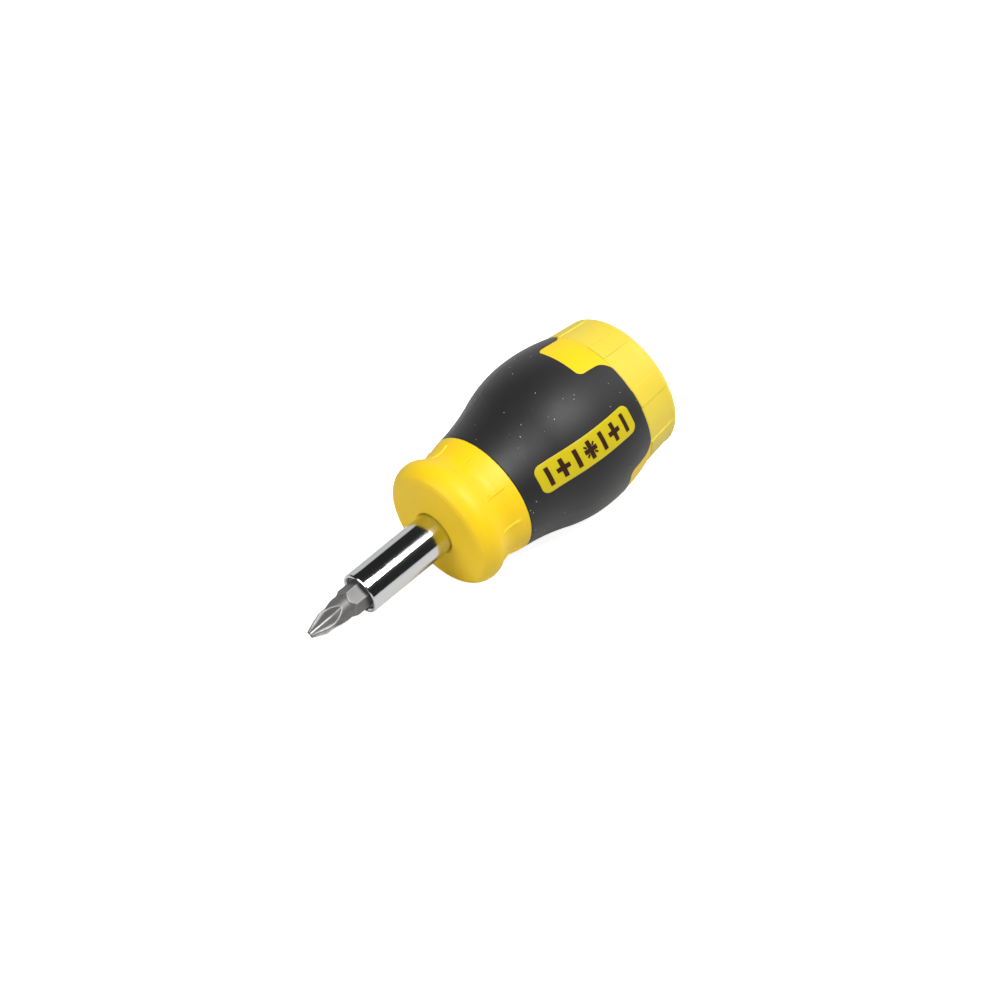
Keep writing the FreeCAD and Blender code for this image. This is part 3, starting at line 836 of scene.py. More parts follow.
@dataclass
class HandleCore(Assembly):
    """Hard core: flange, ribbed neck, the ground under the grip and the tabs in its windows."""

    face_station: float = 39.9
    mouth_radius: float = 5.75
    bore_radius: float = 4.9
    recess_radius: float = 5.32
    recess_from: float = 0.3
    recess_to: float = 1.3
    bore_end: float = 58.2
    crease: float = 3.4
    under_grip: float = 1.6
    end_round: float = 0.14
    tab_drop: float = 0.10
    tab_side_deg: float = 21.0
    tab_edge: float = 0.9
    store_radius: float = 15.0
    store_floor: float = 71.0
    rib_count: int = 10
    rib_angle: float = 7.0
    rib_half_width: float = 0.42
    rib_edge: float = 0.14
    rib_rise: float = 0.25
    rib_from: float = 47.8
    rib_to: float = 53.7

    def outline(self) -> Array:
        """Stations and radii from the bore's floor, over the outside, to the store's floor."""
        start, end = LINE.face[0] + 0.45, LINE.grip_start[0]
        outside = np.concatenate([np.linspace(start, 48.0, 34), np.linspace(48.15, end - 0.18, 52)])
        front = rounded_path([
            (self.bore_end, 0.0, 0.0),
            (self.bore_end, self.bore_radius, 0.1),
            (self.face_station + self.recess_to, self.bore_radius, 0.05),
            (self.face_station + self.recess_to, self.recess_radius, 0.05),
            (self.face_station + self.recess_from, self.recess_radius, 0.1),
            (self.face_station, self.mouth_radius, 0.25),
            (LINE.face[0], LINE.face[1], self.crease),
            (start, self.line_at(start), 0.0),
        ])
        end_radius = self.line_at(end)
        edge = rounded_path([
            (end - self.end_round, self.line_at(end - self.end_round), 0.0),
            (end, end_radius, self.end_round),
            (end, end_radius - self.under_grip, 0.0),
        ])
        under = np.linspace(end + 0.3, WINDOW.front - 1.6, 24)
        rear = np.linspace(WINDOW.front - 1.4, LINE.grip_end[0] - 0.12, 46)
        hidden = np.concatenate([under, rear])
        below = LINE.radius(hidden) - self.under_grip
        rim = rounded_path([
            (LINE.grip_end[0], LINE.grip_end[1] - self.under_grip, 0.0),
            (LINE.grip_end[0], self.store_radius, 0.2),
            (self.store_floor, self.store_radius, 0.4),
            (self.store_floor, 0.0, 0.0),
        ])
        return np.concatenate([
            front[:-1],
            np.stack([outside, LINE.radius(outside)], -1),
            edge,
            np.stack([hidden, below], -1),
            rim,
        ])

    @staticmethod
    def line_at(station: float) -> float:
        """Radius of the handle's outline at one station."""
        return float(LINE.radius(np.array(station)))

    def angles(self) -> Array:
        """Angles with more of them at the ribs and at the sides of the windows."""
        ribs = self.rib_angle + np.arange(self.rib_count) * 360.0 / self.rib_count
        windows = WINDOW.first_angle + np.arange(WINDOW.count) * 360.0 / WINDOW.count
        at_ribs = angles_with_detail(180, ribs, reach_deg=2.4, steps=17)
        sides = np.concatenate([windows - self.tab_side_deg, windows + self.tab_side_deg])
        at_tabs = angles_with_detail(4, sides, reach_deg=4.0, steps=11)
        return np.unique(np.concatenate([at_ribs, at_tabs]))

    def build(self) -> None:
        """Turned core with ribs raised on the neck and tabs raised in the windows.

        A rib is a flat-topped bump across the angle, faded out at both of its ends. A tab
        lifts the ground under the grip nearly to the grip's surface wherever a window is.
        """
        path = self.outline()
        angle = self.angles()
        station, radius = path[:, :1], path[:, 1:]
        turn = np.degrees(angle)[None, :]
        pitch = 360.0 / self.rib_count
        off = ((turn - self.rib_angle + pitch / 2) % pitch - pitch / 2) * math.pi / 180 * radius
        low, high = self.rib_half_width - self.rib_edge, self.rib_half_width + self.rib_edge
        ridge = 1 - smooth_step(np.abs(off), low, high)
        fade = smooth_step(station, self.rib_from, self.rib_from + 0.7)
        fade = fade * (1 - smooth_step(station, self.rib_to - 0.35, self.rib_to + 0.1))
        outer = radius > LINE.waist[1] - 1.0
        lifted = radius + self.rib_rise * ridge * fade * outer
        covered = LINE.radius(np.clip(station, LINE.face[0], LINE.grip_end[0])) - self.tab_drop
        inside = WINDOW.cover(station, turn, self.tab_edge) * (radius > self.store_radius + 0.5)
        inside = inside * (station > LINE.grip_start[0] + 1)
        shape = lifted + (covered - lifted) * inside
        core = closed_rings("core_moulding", AXIS.place(station, shape, angle[None, :]), True)
        self.place(core, "handle", "hard_yellow", "hard_yellow", "handle_core")


@dataclass
class SoftGrip(Assembly):
    """Soft sleeve with three rear panels between the windows."""

    edge_bend: float = 0.22
    wall: float = 1.3
    rows: int = 60
    seam_angles: tuple[float, ...] = (-38.0, 142.0)
    seam_rise: float = 0.05
    seam_width: float = 0.10
    seam_from: Pair = (57.0, 59.0)
    seam_to: Pair = (84.0, 87.0)
    mean_radius: float = 19.5
    line_crowding: float = 0.34

    def rear_edge(self) -> tuple[Array, Array]:
        """Rear edge of the sleeve all the way round.

        Each third runs from the middle of one window, along its outline to the rim, along
        the rim, and back down the next window's outline to its middle.

        Returns:
            Stations, and angles in degrees.
        """
        rim = LINE.grip_end[0]
        half = WINDOW.half_outline(rim)
        radius = LINE.radius(half[:, 0])
        turn = np.degrees(np.arcsin(half[:, 1] / radius))
        pitch = 360.0 / WINDOW.count
        across = np.linspace(turn[-1], pitch - turn[-1], 84)[1:-1]
        station = np.concatenate([half[:, 0], np.full_like(across, rim), half[:0:-1, 0]])
        angle = np.concatenate([turn, across, pitch - turn[:0:-1]])
        starts = WINDOW.first_angle + np.arange(WINDOW.count)[:, None] * pitch
        return np.tile(station, WINDOW.count), (starts + angle).ravel()

    def moved_in(self, station: Array, angle: Array, amount: float) -> tuple[Array, Array]:
        """Rear edge moved into the sleeve, square to itself, by an amount."""
        radius = LINE.radius(station)
        across = np.radians(np.unwrap(angle, period=360.0)) * self.mean_radius
        along_step = np.roll(station, -1) - np.roll(station, 1)
        span = 2 * math.pi * self.mean_radius
        across_step = (np.roll(across, -1) - np.roll(across, 1)) % span
        across_step = np.where(across_step > span / 2, across_step - span, across_step)
        length = np.hypot(along_step, across_step)
        into_along = -across_step / length
        into_across = along_step / length
        return station + into_along * amount, angle + np.degrees(into_across * amount / radius)

    def build(self) -> None:
        """Closed sleeve: outside from the front edge to the rear edge, and back underneath.

        Lines run from evenly spaced points of the front edge to the points of the rear
        edge, straight in station and angle. Every point lies on the handle's outline. At
        both edges the surface rolls over through a quarter circle and goes down the wall.
        """
        front = LINE.grip_start[0] + 0.02
        rear_station, rear_angle = self.rear_edge()
        along = np.diff(rear_station, append=rear_station[:1])
        step = np.hypot(along, self.line_crowding * self._gap(rear_angle))
        run = np.concatenate([[0], np.cumsum(step)[:-1]]) / step.sum()
        front_angle = WINDOW.first_angle + 360.0 * run
        inner_station, inner_angle = self.moved_in(rear_station, rear_angle, self.edge_bend)
        share = np.linspace(0, 1, self.rows)[:, None]
        start = front + self.edge_bend
        station = start + (inner_station - start) * share
        angle = front_angle + (self._near(inner_angle, front_angle) - front_angle) * share
        turns = np.linspace(0, math.pi / 2, 6)[1:].tolist()
        bend = self.edge_bend
        roll = [(bend * (1 - math.sin(turn)), bend * (1 - math.cos(turn))) for turn in turns]
        rows: list[tuple[Array, Array, float]] = [(station, angle, 0.0)]
        for left, fallen in roll:
            at, round_at = self.moved_in(rear_station, rear_angle, left)
            rows.append((at[None], self._near(round_at, front_angle)[None], fallen))
        last = self._near(rear_angle, front_angle)
        rows.append((rear_station[None], last[None], self.wall))
        back = np.linspace(1, 0, 16)[1:, None]
        under = front + (rear_station - front) * back
        rows.append((under, front_angle + (last - front_angle) * back, self.wall))
        for left, fallen in roll[::-1]:
            rows.append((np.full((1, len(last)), front + left), front_angle[None], fallen))
        station = np.concatenate([row[0] for row in rows])
        angle = np.concatenate([row[1] for row in rows])
        drop = np.concatenate([np.full_like(row[0], row[2]) for row in rows])
        outside = LINE.radius(np.clip(station, LINE.grip_start[0] + 1e-6, LINE.grip_end[0]))
        rise = self.seam(station, angle, outside) * (drop <= 0)
        rings = AXIS.place(station, outside - drop + rise, np.radians(angle))
        grip = closed_rings("grip_sleeve", rings, False, crease_deg=50.0)
        self.place(grip, "handle", "soft_black", "soft_black", "soft_grip")

    def seam(self, station: Array, angle: Array, radius: Array) -> Array:
        """Height of the fine mould lines: a narrow bell across the angle, faded at the ends."""
        rise = np.zeros_like(station)
        for line in self.seam_angles:
            off = ((angle - line + 180) % 360 - 180) * math.pi / 180 * radius
            rise += np.exp(-((off / self.seam_width) ** 2))
        fade = smooth_step(station, *self.seam_from) * (1 - smooth_step(station, *self.seam_to))
        return self.seam_rise * rise * fade

    @staticmethod
    def _gap(angle: Array) -> Array:
        """Step to the next angle, the short way round."""
        return (np.roll(angle, -1) - angle + 180) % 360 - 180

    @staticmethod
    def _near(angle: Array, reference: Array) -> Array:
        """The same angles, a whole number of turns away, nearest to a reference."""
        return reference + (angle - reference + 180) % 360 - 180


@dataclass
class Badge(Assembly):
    """Long plate let into the grip, with plain signs for the kinds of bit."""

    start: float = 61.2
    end: float = 89.4
    half_width: float = 3.65
    corner: float = 2.0
    angle: float = 59.0
    proud: float = 0.14
    depth: float = 0.9
    edge_bend: float = 0.2
    ink_rise: float = 0.03
    bar_width: float = 1.15
    sign_size: float = 4.7
    arm: float = 1.15
    sign_margin: float = 2.3
    ink_depth: float = 0.05
    ray: tuple[float, float, float] = (0.95, 0.5, 1.55)

    def on_surface(self, station: Array, across: Array, lift: float | Array) -> Array:
        """Points of the plate's own plane laid on the grip and lifted off it."""
        radius = LINE.radius(station)
        angle = math.radians(self.angle) + np.arcsin(across / radius)
        return AXIS.place(station, radius + lift, angle)

    def build(self) -> None:
        """Plate and signs.

        The plate's rows are closer together at its rounded corners, where the half width
        follows a quarter circle. Its height falls through a quarter circle at the edge.
        """
        turn = np.linspace(0, math.pi / 2, 10)
        corner = self.corner * (1 - np.cos(turn))
        middle = np.linspace(self.start + self.corner, self.end - self.corner, 60)[1:-1]
        station = np.concatenate([self.start + corner, middle, self.end - corner[::-1]])
        reach = np.minimum(station - self.start, self.end - station)
        missing = np.maximum(self.corner - reach, 0)
        half = self.half_width - self.corner + np.sqrt(np.maximum(self.corner**2 - missing**2, 0))
        rim = 1 - self.edge_bend / self.half_width * np.array([1.0, 0.6, 0.3, 0.1, 0.0])
        share = np.concatenate([-rim[::-1], np.linspace(-rim[0], rim[0], 22)[1:-1], rim])
        across = half[:, None] * share
        along = np.broadcast_to(station[:, None], across.shape)
        inset = np.minimum(half[:, None] - np.abs(across), reach[:, None])
        rolled = np.clip(1 - inset / self.edge_bend, 0, 1)
        lift = self.proud - self.edge_bend * (1 - np.sqrt(1 - rolled**2))
        top = self.on_surface(along, across, lift)
        bottom = self.on_surface(along, across, -self.depth)
        plate = joined("badge_plate_skin", [plate_mesh(top, bottom)])
        self.place(plate, "handle", "badge_yellow", "badge_yellow", "badge_plate")
        signs = joined("badge_signs", self.signs())
        self.place(signs, "handle", "badge_ink", "badge_yellow")

    def bar(
        self, station: float, turn_deg: float, length: float, width: float, reach: float = 0.0
    ) -> Quads:
        """One inked bar.

        Args:
            station: Station of the sign's middle.
            turn_deg: Direction of the bar from the tool's axis.
            length: Length of the bar.
            width: Width of the bar.
            reach: Distance of the bar's middle from the sign's middle.

        Returns:
            Points and quads of a thin closed plate.
        """
        lengthwise = np.linspace(-length / 2, length / 2, 9) + reach
        along, across = np.meshgrid(lengthwise, np.linspace(-width / 2, width / 2, 4), indexing="ij")
        cosine, sine = math.cos(math.radians(turn_deg)), math.sin(math.radians(turn_deg))
        x = station + along * cosine - across * sine
        y = along * sine + across * cosine
        top = self.on_surface(x, y, self.proud + self.ink_rise)
        bottom = self.on_surface(x, y, self.proud - self.ink_depth)
        return plate_mesh(top, bottom)

    def signs(self) -> list[Quads]:
        """Seven signs in a row: slots, with a cross, a star cross and a cross between them."""
        size, width, arm = self.sign_size, self.bar_width, self.arm
        slot, cross = width, 2 * arm + width
        widths = np.array([slot, cross, slot, cross, slot, cross, slot])
        gap = (self.end - self.start - 2 * self.sign_margin - widths.sum()) / (len(widths) - 1)
        steps = np.cumsum(widths) - widths / 2 + gap * np.arange(len(widths))
        places = self.start + self.sign_margin + steps
        parts = []
        for index, place in enumerate(places.tolist()):
            parts.append(self.bar(place, 90.0, size, width))
            if index % 2:
                reach = (width + arm) / 2
                parts += [self.bar(place, turn, arm, width, reach) for turn in (0.0, 180.0)]
            if index == len(widths) // 2:
                parts += [self.bar(place, turn, *self.ray) for turn in (45.0, 135.0, 225.0, 315.0)]
        return parts


@dataclass
class EndCap(Assembly):
    """Plug-in cap with eight shallow scallops."""

    rim: float = 93.68
    rim_radius: float = 19.15
    brow: Pair = (102.0, 18.15)
    end: Pair = (105.0, 15.2)
    hollow_end: float = 102.6
    hollow_radius: float = 13.2
    spigot_start: float = 88.0
    spigot_radius: float = 14.93
    groove: tuple[float, float, float] = (89.6, 91.4, 13.95)
    scallops: int = 8
    scallop_angle: float = 31.5
    scallop_half_deg: float = 15.0
    scallop_depth: float = 0.26
    scallop_edge_deg: float = 0.5
    scallop_end: float = 103.3

    def outline(self) -> Array:
        """Stations and radii from the hollow's end, over spigot and rim, to the end face."""
        low, high, floor = self.groove
        inner = rounded_path([
            (self.hollow_end, 0.0, 0.0),
            (self.hollow_end, self.hollow_radius, 0.8),
            (self.spigot_start, self.hollow_radius, 0.25),
            (self.spigot_start, self.spigot_radius, 0.4),
            (low, self.spigot_radius, 0.1),
            (low, floor, 0.1),
            (high, floor, 0.1),
            (high, self.spigot_radius, 0.1),
            (self.rim, self.spigot_radius, 0.1),
            (self.rim, self.rim_radius, 0.22),
            (self.brow[0] - 2.5, self.rim_radius - 0.71, 0.0),
        ], spacing=1.0)
        slope = (self.brow[1] - self.rim_radius) / (self.brow[0] - self.rim)
        brow = rounded_path([
            (self.brow[0] - 2.4, self.brow[1] - 2.4 * slope, 0.0),
            (self.end[0] - 0.1, self.brow[1] + (self.end[0] - 0.1 - self.brow[0]) * slope, 2.75),
            (self.end[0], self.end[1] - 0.6, 0.0),
        ], steps=20, spacing=0.8)
        face_edge = (self.end[0], self.end[1] - 0.9, 0.0)
        face = rounded_path([face_edge, (self.end[0], 0.0, 0.0)], spacing=2.0)
        return np.concatenate([inner[:-1], brow, face])

    def build(self) -> None:
        """Turned cap whose outside sinks a little in each scallop.

        The sunk part is a flat-bottomed trough across the angle, full depth at the rim and
        faded out over the rounded end.
        """
        path = self.outline()
        pitch = 360.0 / self.scallops
        middles = self.scallop_angle + np.arange(self.scallops) * pitch
        edges = np.concatenate([middles - self.scallop_half_deg, middles + self.scallop_half_deg])
        angle = angles_with_detail(200, edges, reach_deg=1.2, steps=13)
        station, radius = path[:, :1], path[:, 1:]
        off = np.abs((np.degrees(angle)[None, :] - self.scallop_angle + pitch / 2) % pitch - pitch / 2)
        low = self.scallop_half_deg - self.scallop_edge_deg
        trough = 1 - smooth_step(off, low, self.scallop_half_deg + self.scallop_edge_deg)
        fade = 1 - smooth_step(station, self.scallop_end - 2.0, self.scallop_end + 0.4)
        outer = smooth_step(radius, self.rim_radius - 0.8, self.rim_radius - 0.4) + (station > self.rim + 1.0)
        outer = np.clip(outer, 0, 1) * (radius > self.end[1]) * (station >= self.rim)
        shape = radius - self.scallop_depth * trough * fade * outer
        cap = closed_rings("cap_shell", AXIS.place(station, shape, angle[None, :]), True)
        self.place(cap, "cap", "cap_yellow", "cap_yellow", "end_cap")


@dataclass
class Holder(Assembly):
    """Bright sleeve and socket; the magnet and retaining ring stay frame nodes."""

    sleeve_start: float = 15.6
    sleeve_end: float = 58.2
    sleeve_radius: float = 5.25
    seat_start: float = 40.9
    seat_radius: float = 4.9
    lip: float = 0.26
    sleeve_bore: float = 4.3
    socket_start: float = 16.4
    socket_end: float = 60.2
    socket_flats: float = 6.45
    hex_end: float = 25.5
    columns: int = 192
    socket_columns: int = 240
    socket_gap: float = 0.01
    mouth_chamfer: float = 0.3

    def build(self) -> None:
        """Sleeve as a tube with rounded mouth, and socket with its hexagonal bore."""
        start, lip = self.sleeve_start, self.lip
        tube = rounded_path([
            (start, self.sleeve_bore + self.mouth_chamfer, 0.0),
            (start, self.sleeve_radius - lip, 0.12),
            (start + lip, self.sleeve_radius, 0.2),
            (self.seat_start, self.sleeve_radius, 0.1),
            (self.seat_start, self.seat_radius, 0.1),
            (self.sleeve_end, self.seat_radius, 0.1),
            (self.sleeve_end, self.sleeve_bore, 0.05),
            (start + self.mouth_chamfer, self.sleeve_bore, 0.1),
            (start + 0.02, self.sleeve_bore + 0.28, 0.0),
        ], spacing=2.0)
        angle = round_angles(self.columns)
        rings = AXIS.place(tube[:, :1], tube[:, 1:], angle[None, :])
        sleeve = closed_rings("bright_sleeve", rings, False)
        self.place(sleeve, "handle", "sleeve_chrome", "sleeve_chrome", "chrome_sleeve")
        self.build_socket()

    def build_socket(self) -> None:
        """Socket: a round outside, and inside a hexagon that opens with a small chamfer.

        Each ring is a round radius on the outside and the hexagon's radius in the bore.
        """
        angle = round_angles(self.socket_columns)
        flat = self.socket_flats / 2
        hexagon = hexagon_line(flat, angle)
        outside = self.sleeve_bore - self.socket_gap
        rows = [
            (self.socket_end, 0.0),
            (self.socket_end, outside - 0.3),
            (self.socket_end - 0.3, outside),
            (self.socket_start + 0.12, outside),
            (self.socket_start, outside - 0.12),
            (self.socket_start, flat * 1.2),
            (self.socket_start + 0.35, hexagon),
            (self.hex_end, hexagon),
            (self.hex_end, flat * 0.5),
            (self.hex_end, 0.0),
        ]
        station = np.array([row[0] for row in rows])[:, None]
        radius = np.stack([np.broadcast_to(row[1], angle.shape) for row in rows])
        socket = closed_rings("hex_socket", AXIS.place(station, radius, angle[None, :]), True)
        self.place(socket, "handle", "socket_steel", "socket_steel", "bit_socket")


class TipKind(Enum):
    """Forms of bit point."""

    CROSS = "cross"
    POZI = "pozi"
    BLADE = "blade"


@dataclass(frozen=True)
class BitShape:
    """Sizes of one bit, from its point."""

    name: str
    node: str
    body: str
    kind: TipKind
    tip_radius: float
    cone_end: float
    shank: float
    roots: tuple[float, float, float]
    flute_middle: float
    flute_end: float
    lead: float = 0.5
    length: float = 25.0
    flats: float = 6.35
    hex_start: float = 10.6
    hex_full: float = 12.1
    flute_bend: float = 0.7
    root_round: float = 0.3
    shine_width: float = 0.055
    wing: float = 0.17
    notch: tuple[float, float, float, float] = (17.0, 17.4, 18.1, 18.5)
    notch_radius: float = 3.3
    edge_soft: float = 0.03
    nose_round: Pair = (0.2, 0.14)
    blade_flat: float = 1.6
    blade_taper: float = 0.012
    hollow_power: float = 1.7
    corner_cut: float = 0.05
    end_chamfer: float = 0.6
    rib_rise: float = 0.42
    rib_end: Pair = (2.6, 4.6)
    rib_side: Pair = (0.14, 0.30)

    def envelope(self, station: Array) -> Array:
        """Round outline of the point and shank: a cone that meets the shank softly."""
        if self.kind is TipKind.BLADE:
            return np.full_like(station, self.shank)
        slope = (self.shank - self.tip_radius) / self.cone_end
        cone = self.tip_radius + slope * station
        return soft_min(cone, np.full_like(cone, self.shank), self.edge_soft)

    def root(self, station: Array) -> Array:
        """Distance from the axis to the flute's root or to the ground face."""
        if self.kind is TipKind.BLADE:
            rise = np.clip((station - self.blade_flat) / (self.flute_end - self.blade_flat), 0, None)
            swell = (self.shank - self.tip_radius) * rise**self.hollow_power
            return self.tip_radius + self.blade_taper * station + swell
        low, middle, high = self.roots
        slow = (middle - low) / (self.flute_middle + self.lead)
        quick = (high - middle) / (self.flute_end - self.flute_middle)
        past = station - self.flute_middle
        bent = 0.5 * (past + np.sqrt(past * past + self.flute_bend**2)) - 0.2 * self.flute_bend
        return middle + slow * past + (quick - slow) * bent

    def hex_limit(self, station: Array) -> Array:
        """Round limit of the hexagon: hollow shoulder in front, corner notches, end chamfer."""
        corner = self.flats / math.sqrt(3.0) - self.corner_cut
        rise = np.clip((station - self.hex_start) / (self.hex_full - self.hex_start), 0, 1)
        limit = self.shank + (corner - self.shank) * rise**self.hollow_power
        low, floor_low, floor_high, high = self.notch
        dip = smooth_step(station, low, floor_low) * (1 - smooth_step(station, floor_high, high))
        limit = limit - (corner - self.notch_radius) * dip
        return np.minimum(limit, corner - np.clip(station - (self.length - self.end_chamfer), 0, None))


@dataclass
class Bits(Assembly):
    """The fitted bit and the five stored ones."""

    columns_round: int = 240
    cross_half_open: float = 61.0
    pozi_half_open: float = 56.0
    corner_columns: int = 8
    corner_reach: float = 28.0
    end_cut: float = 0.06
    store_tip: float = 98.4
    store_off_axis: float = 9.3
    store_first_deg: float = 20.0
    store_pitch_deg: float = 72.0

    def build(self) -> None:
        """Make every bit in its own place."""
        cross, pozi, blade = TipKind.CROSS, TipKind.POZI, TipKind.BLADE
        flat = (0.0, 0.0, 0.0)
        driving = BitShape(
            "driving_bit_skin", "fitted_bit", "driving_bit", cross,
            1.05, 4.0, 3.0, (0.42, 1.25, 3.15), 6.5, 9.3,
        )
        self.make(driving, tip_station=0.0, off_axis=0.0, turn_deg=HEX_TURN, stored=False)
        spares = (
            BitShape(
                "pozi_large_skin", "pozi_bit_large", "stored_pozi_bit_large", pozi,
                1.05, 4.0, 3.0, (0.5, 1.4, 3.15), 6.2, 8.8,
            ),
            BitShape(
                "slot_wide_skin", "slotted_bit_wide", "stored_slotted_bit_wide", blade,
                0.5, 0.0, 3.0, flat, 0.0, 9.5,
            ),
            BitShape(
                "pozi_small_skin", "pozi_bit_small", "stored_pozi_bit_small", pozi,
                0.78, 3.2, 2.35, (0.38, 1.1, 2.45), 5.0, 7.2,
            ),
            BitShape(
                "slot_narrow_skin", "slotted_bit_narrow", "stored_slotted_bit_narrow", blade,
                0.4, 0.0, 2.25, flat, 0.0, 8.0,
            ),
            BitShape(
                "cross_small_skin", "cross_bit_small", "stored_cross_bit_small", cross,
                0.5, 3.6, 2.3, (0.22, 1.0, 2.4), 5.0, 7.2,
            ),
        )
        for index, shape in enumerate(spares):
            turn = self.store_first_deg + self.store_pitch_deg * index
            self.make(shape, self.store_tip, self.store_off_axis, turn, True)

    def stations(self, shape: BitShape) -> Array:
        """Stations of the rings, closer together at the point, shoulder, notches and end."""
        end = shape.length
        return np.unique(np.concatenate([
            np.linspace(0, 0.2, 4),
            np.linspace(0.2, shape.flute_end + 0.4, 84),
            shape.cone_end + np.linspace(-0.04, 0.04, 3),
            np.linspace(shape.flute_end + 0.4, shape.hex_start, 6),
            np.linspace(shape.hex_start, shape.hex_full, 22),
            np.linspace(shape.hex_full, shape.notch[0], 8),
            np.linspace(shape.notch[0], shape.notch[3], 18),
            np.linspace(shape.notch[3], end - 0.7, 10),
            np.linspace(end - 0.7, end - self.end_cut, 9),
        ]))

    def section(self, shape: BitShape, station: Array) -> tuple[Array, Array, Array]:
        """Radius against angle at each station.

        Near the point the section is the round outline cut by straight flutes or ground
        faces, so its radius is the smaller of the two. The columns follow the edge where
        they meet. Further back they follow the hexagon's corners.

        Args:
            shape: The bit.
            station: Stations as a column.

        Returns:
            Angles in degrees, radii, and the edge mask for wear and painted highlight.
        """
        folds = 2 if shape.kind is TipKind.BLADE else 4
        opening = self.cross_half_open if shape.kind is TipKind.CROSS else self.pozi_half_open
        half_open = math.radians(opening)
        lean = 0.0 if folds == 2 else 1 / math.tan(half_open)
        nose, cut = shape.nose_round
        round_line = shape.envelope(station) - cut * (1 - smooth_step(station, 0, nose))
        root = shape.root(station)
        sector = 180.0 / folds
        wing = np.degrees(np.arcsin(np.minimum(shape.wing / round_line, 0.7)))
        edge = np.minimum(self.edge_angle(root, round_line, lean, sector), sector - wing)
        each = self.columns_round // (4 * folds)
        t = (np.arange(each) + 0.5) / each
        groove = edge * (1 - (1 - t) ** 1.8)
        land = edge + (sector - edge) * t
        half = np.concatenate([groove, land], 1)
        tip_turn = np.concatenate([half, 2 * sector - half[:, ::-1]], 1)
        tip_turn = np.concatenate([tip_turn + 2 * sector * k for k in range(folds)], 1)
        even = self.hex_columns()
        blend = smooth_step(station, shape.flute_end + 0.2, shape.hex_start + 0.4)
        turn = tip_turn + (even - tip_turn) * blend
        off = np.radians((turn + sector) % (2 * sector) - sector)
        line = self.flute_line(off, root, lean, shape.root_round if lean else 0.0)
        radius = soft_min(line, np.broadcast_to(round_line, line.shape), shape.edge_soft)
        if lean:
            from_wing = round_line * np.sin(np.radians(sector) - np.abs(off))
            crest = 1 - smooth_step(from_wing, shape.wing - 0.02, shape.wing + 0.06)
            radius = radius + (round_line - radius) * crest
        if shape.kind is TipKind.POZI:
            radius = self.with_ribs(shape, station, off, radius)
        hexagon = hexagon_line(shape.flats / 2, np.radians(turn))
        limit = np.broadcast_to(shape.hex_limit(station), hexagon.shape)
        back = soft_min(hexagon, limit, 0.04)
        share = smooth_step(station, shape.hex_start - 0.02, shape.hex_start + 0.02)
        worn_and_highlit = self.edge_shine(shape, station, edge, off, radius) * (1 - share)
        # Painted highlight along the hexagon's corners.
        worn_and_highlit = worn_and_highlit + np.exp(-(((hexagon - limit) / 0.05) ** 2)) * share * 0.2
        return turn, radius * (1 - share) + back * share, worn_and_highlit

    @staticmethod
    def flute_line(off: Array, root: Array, lean: float, soft: float) -> Array:
        """Radius of a flute's walls, or of a ground face if they do not lean.

        Square to the axis, with x across the flute, the wall stands at
        root + lean * (sqrt(x^2 + soft^2) - soft), so the bottom is rounded. Put in round
        coordinates that is a quadratic in the radius, whose larger solution is taken.

        Args:
            off: Angles from the flute's middle in radians.
            root: Distance of the bottom from the axis, as a column.
            lean: Rise of the walls for each step across.
            soft: How wide the rounding is.

        Returns:
            Radii, very large where the wall is never met.
        """
        cosine, sine = np.cos(off), np.sin(off)
        square = cosine**2 - (lean * sine) ** 2
        shift = lean * soft - root
        inside = (cosine * shift) ** 2 - square * (shift**2 - (lean * soft) ** 2)
        met = (square > STRAIGHT) & (cosine > 0)
        far = (np.sqrt(np.maximum(inside, 0)) - cosine * shift) / np.where(met, square, 1.0)
        return np.where(met, far, NEVER_MET)

    @staticmethod
    def edge_shine(shape: BitShape, station: Array, edge: Array, off: Array, radius: Array) -> Array:
        """Mask of bare-metal wear and painted highlight along the edges of the flutes, and of painted
        highlight faintly along their roots.

        Args:
            shape: The bit.
            station: Stations as a column.
            edge: Angle of the flute's edge from its middle in degrees, as a column.
            off: Angles from the flute's middle in radians.
            radius: Radii.

        Returns:
            Mask from nought to about one.
        """
        run = shape.envelope(station)
        slope = np.gradient(np.radians(edge[:, 0]) * run[:, 0], station[:, 0])[:, None]
        away = (np.abs(off) - np.radians(edge)) * run / np.hypot(1.0, slope)
        lines = np.exp(-((away / shape.shine_width) ** 2))
        across = np.abs(radius * np.sin(off))
        bottom = 1 - smooth_step(across, shape.root_round * 0.3, shape.root_round * 0.8)
        tail = 1 - smooth_step(station, shape.flute_end - 0.45, shape.flute_end - 0.05)
        dimmer_at_point = 0.55 + 0.45 * smooth_step(station, 0.3, 2.5)
        # Faint painted highlight along the roots of cross flutes; the edge lines are dimmer at the point.
        return (lines * dimmer_at_point + 0.4 * bottom * (shape.kind is TipKind.CROSS)) * tail

    def hex_columns(self) -> Array:
        """Angles round the hexagon in degrees, closer together at its corners."""
        spread = self.columns_round // 12 - self.corner_columns
        flat = np.linspace(0, self.corner_reach, spread + 1)[:-1] + self.corner_reach / spread / 2
        half = np.concatenate([flat, np.linspace(28.15, 29.85, self.corner_columns)])
        sixth = np.concatenate([half, 60.0 - half[::-1]])
        return (sixth + np.arange(6)[:, None] * 60.0).ravel()

    @staticmethod
    def edge_angle(root: Array, round_line: Array, lean: float, sector: float) -> Array:
        """Angle from a flute's middle at which it meets the round outline.

        It solves cos(a) - lean * sin(a) = root / outline.

        Args:
            root: Distances of the flute's root.
            round_line: Radii of the outline.
            lean: How fast the flute's walls open.
            sector: Half of the angle between flutes, in degrees.

        Returns:
            Angles in degrees, kept a little inside the sector.
        """
        size = math.hypot(1.0, lean)
        ratio = np.clip(root / round_line / size, -1, 1)
        angle = np.degrees(np.arccos(ratio) - math.atan(lean))
        return np.clip(angle, 0.04 * sector, 0.97 * sector)

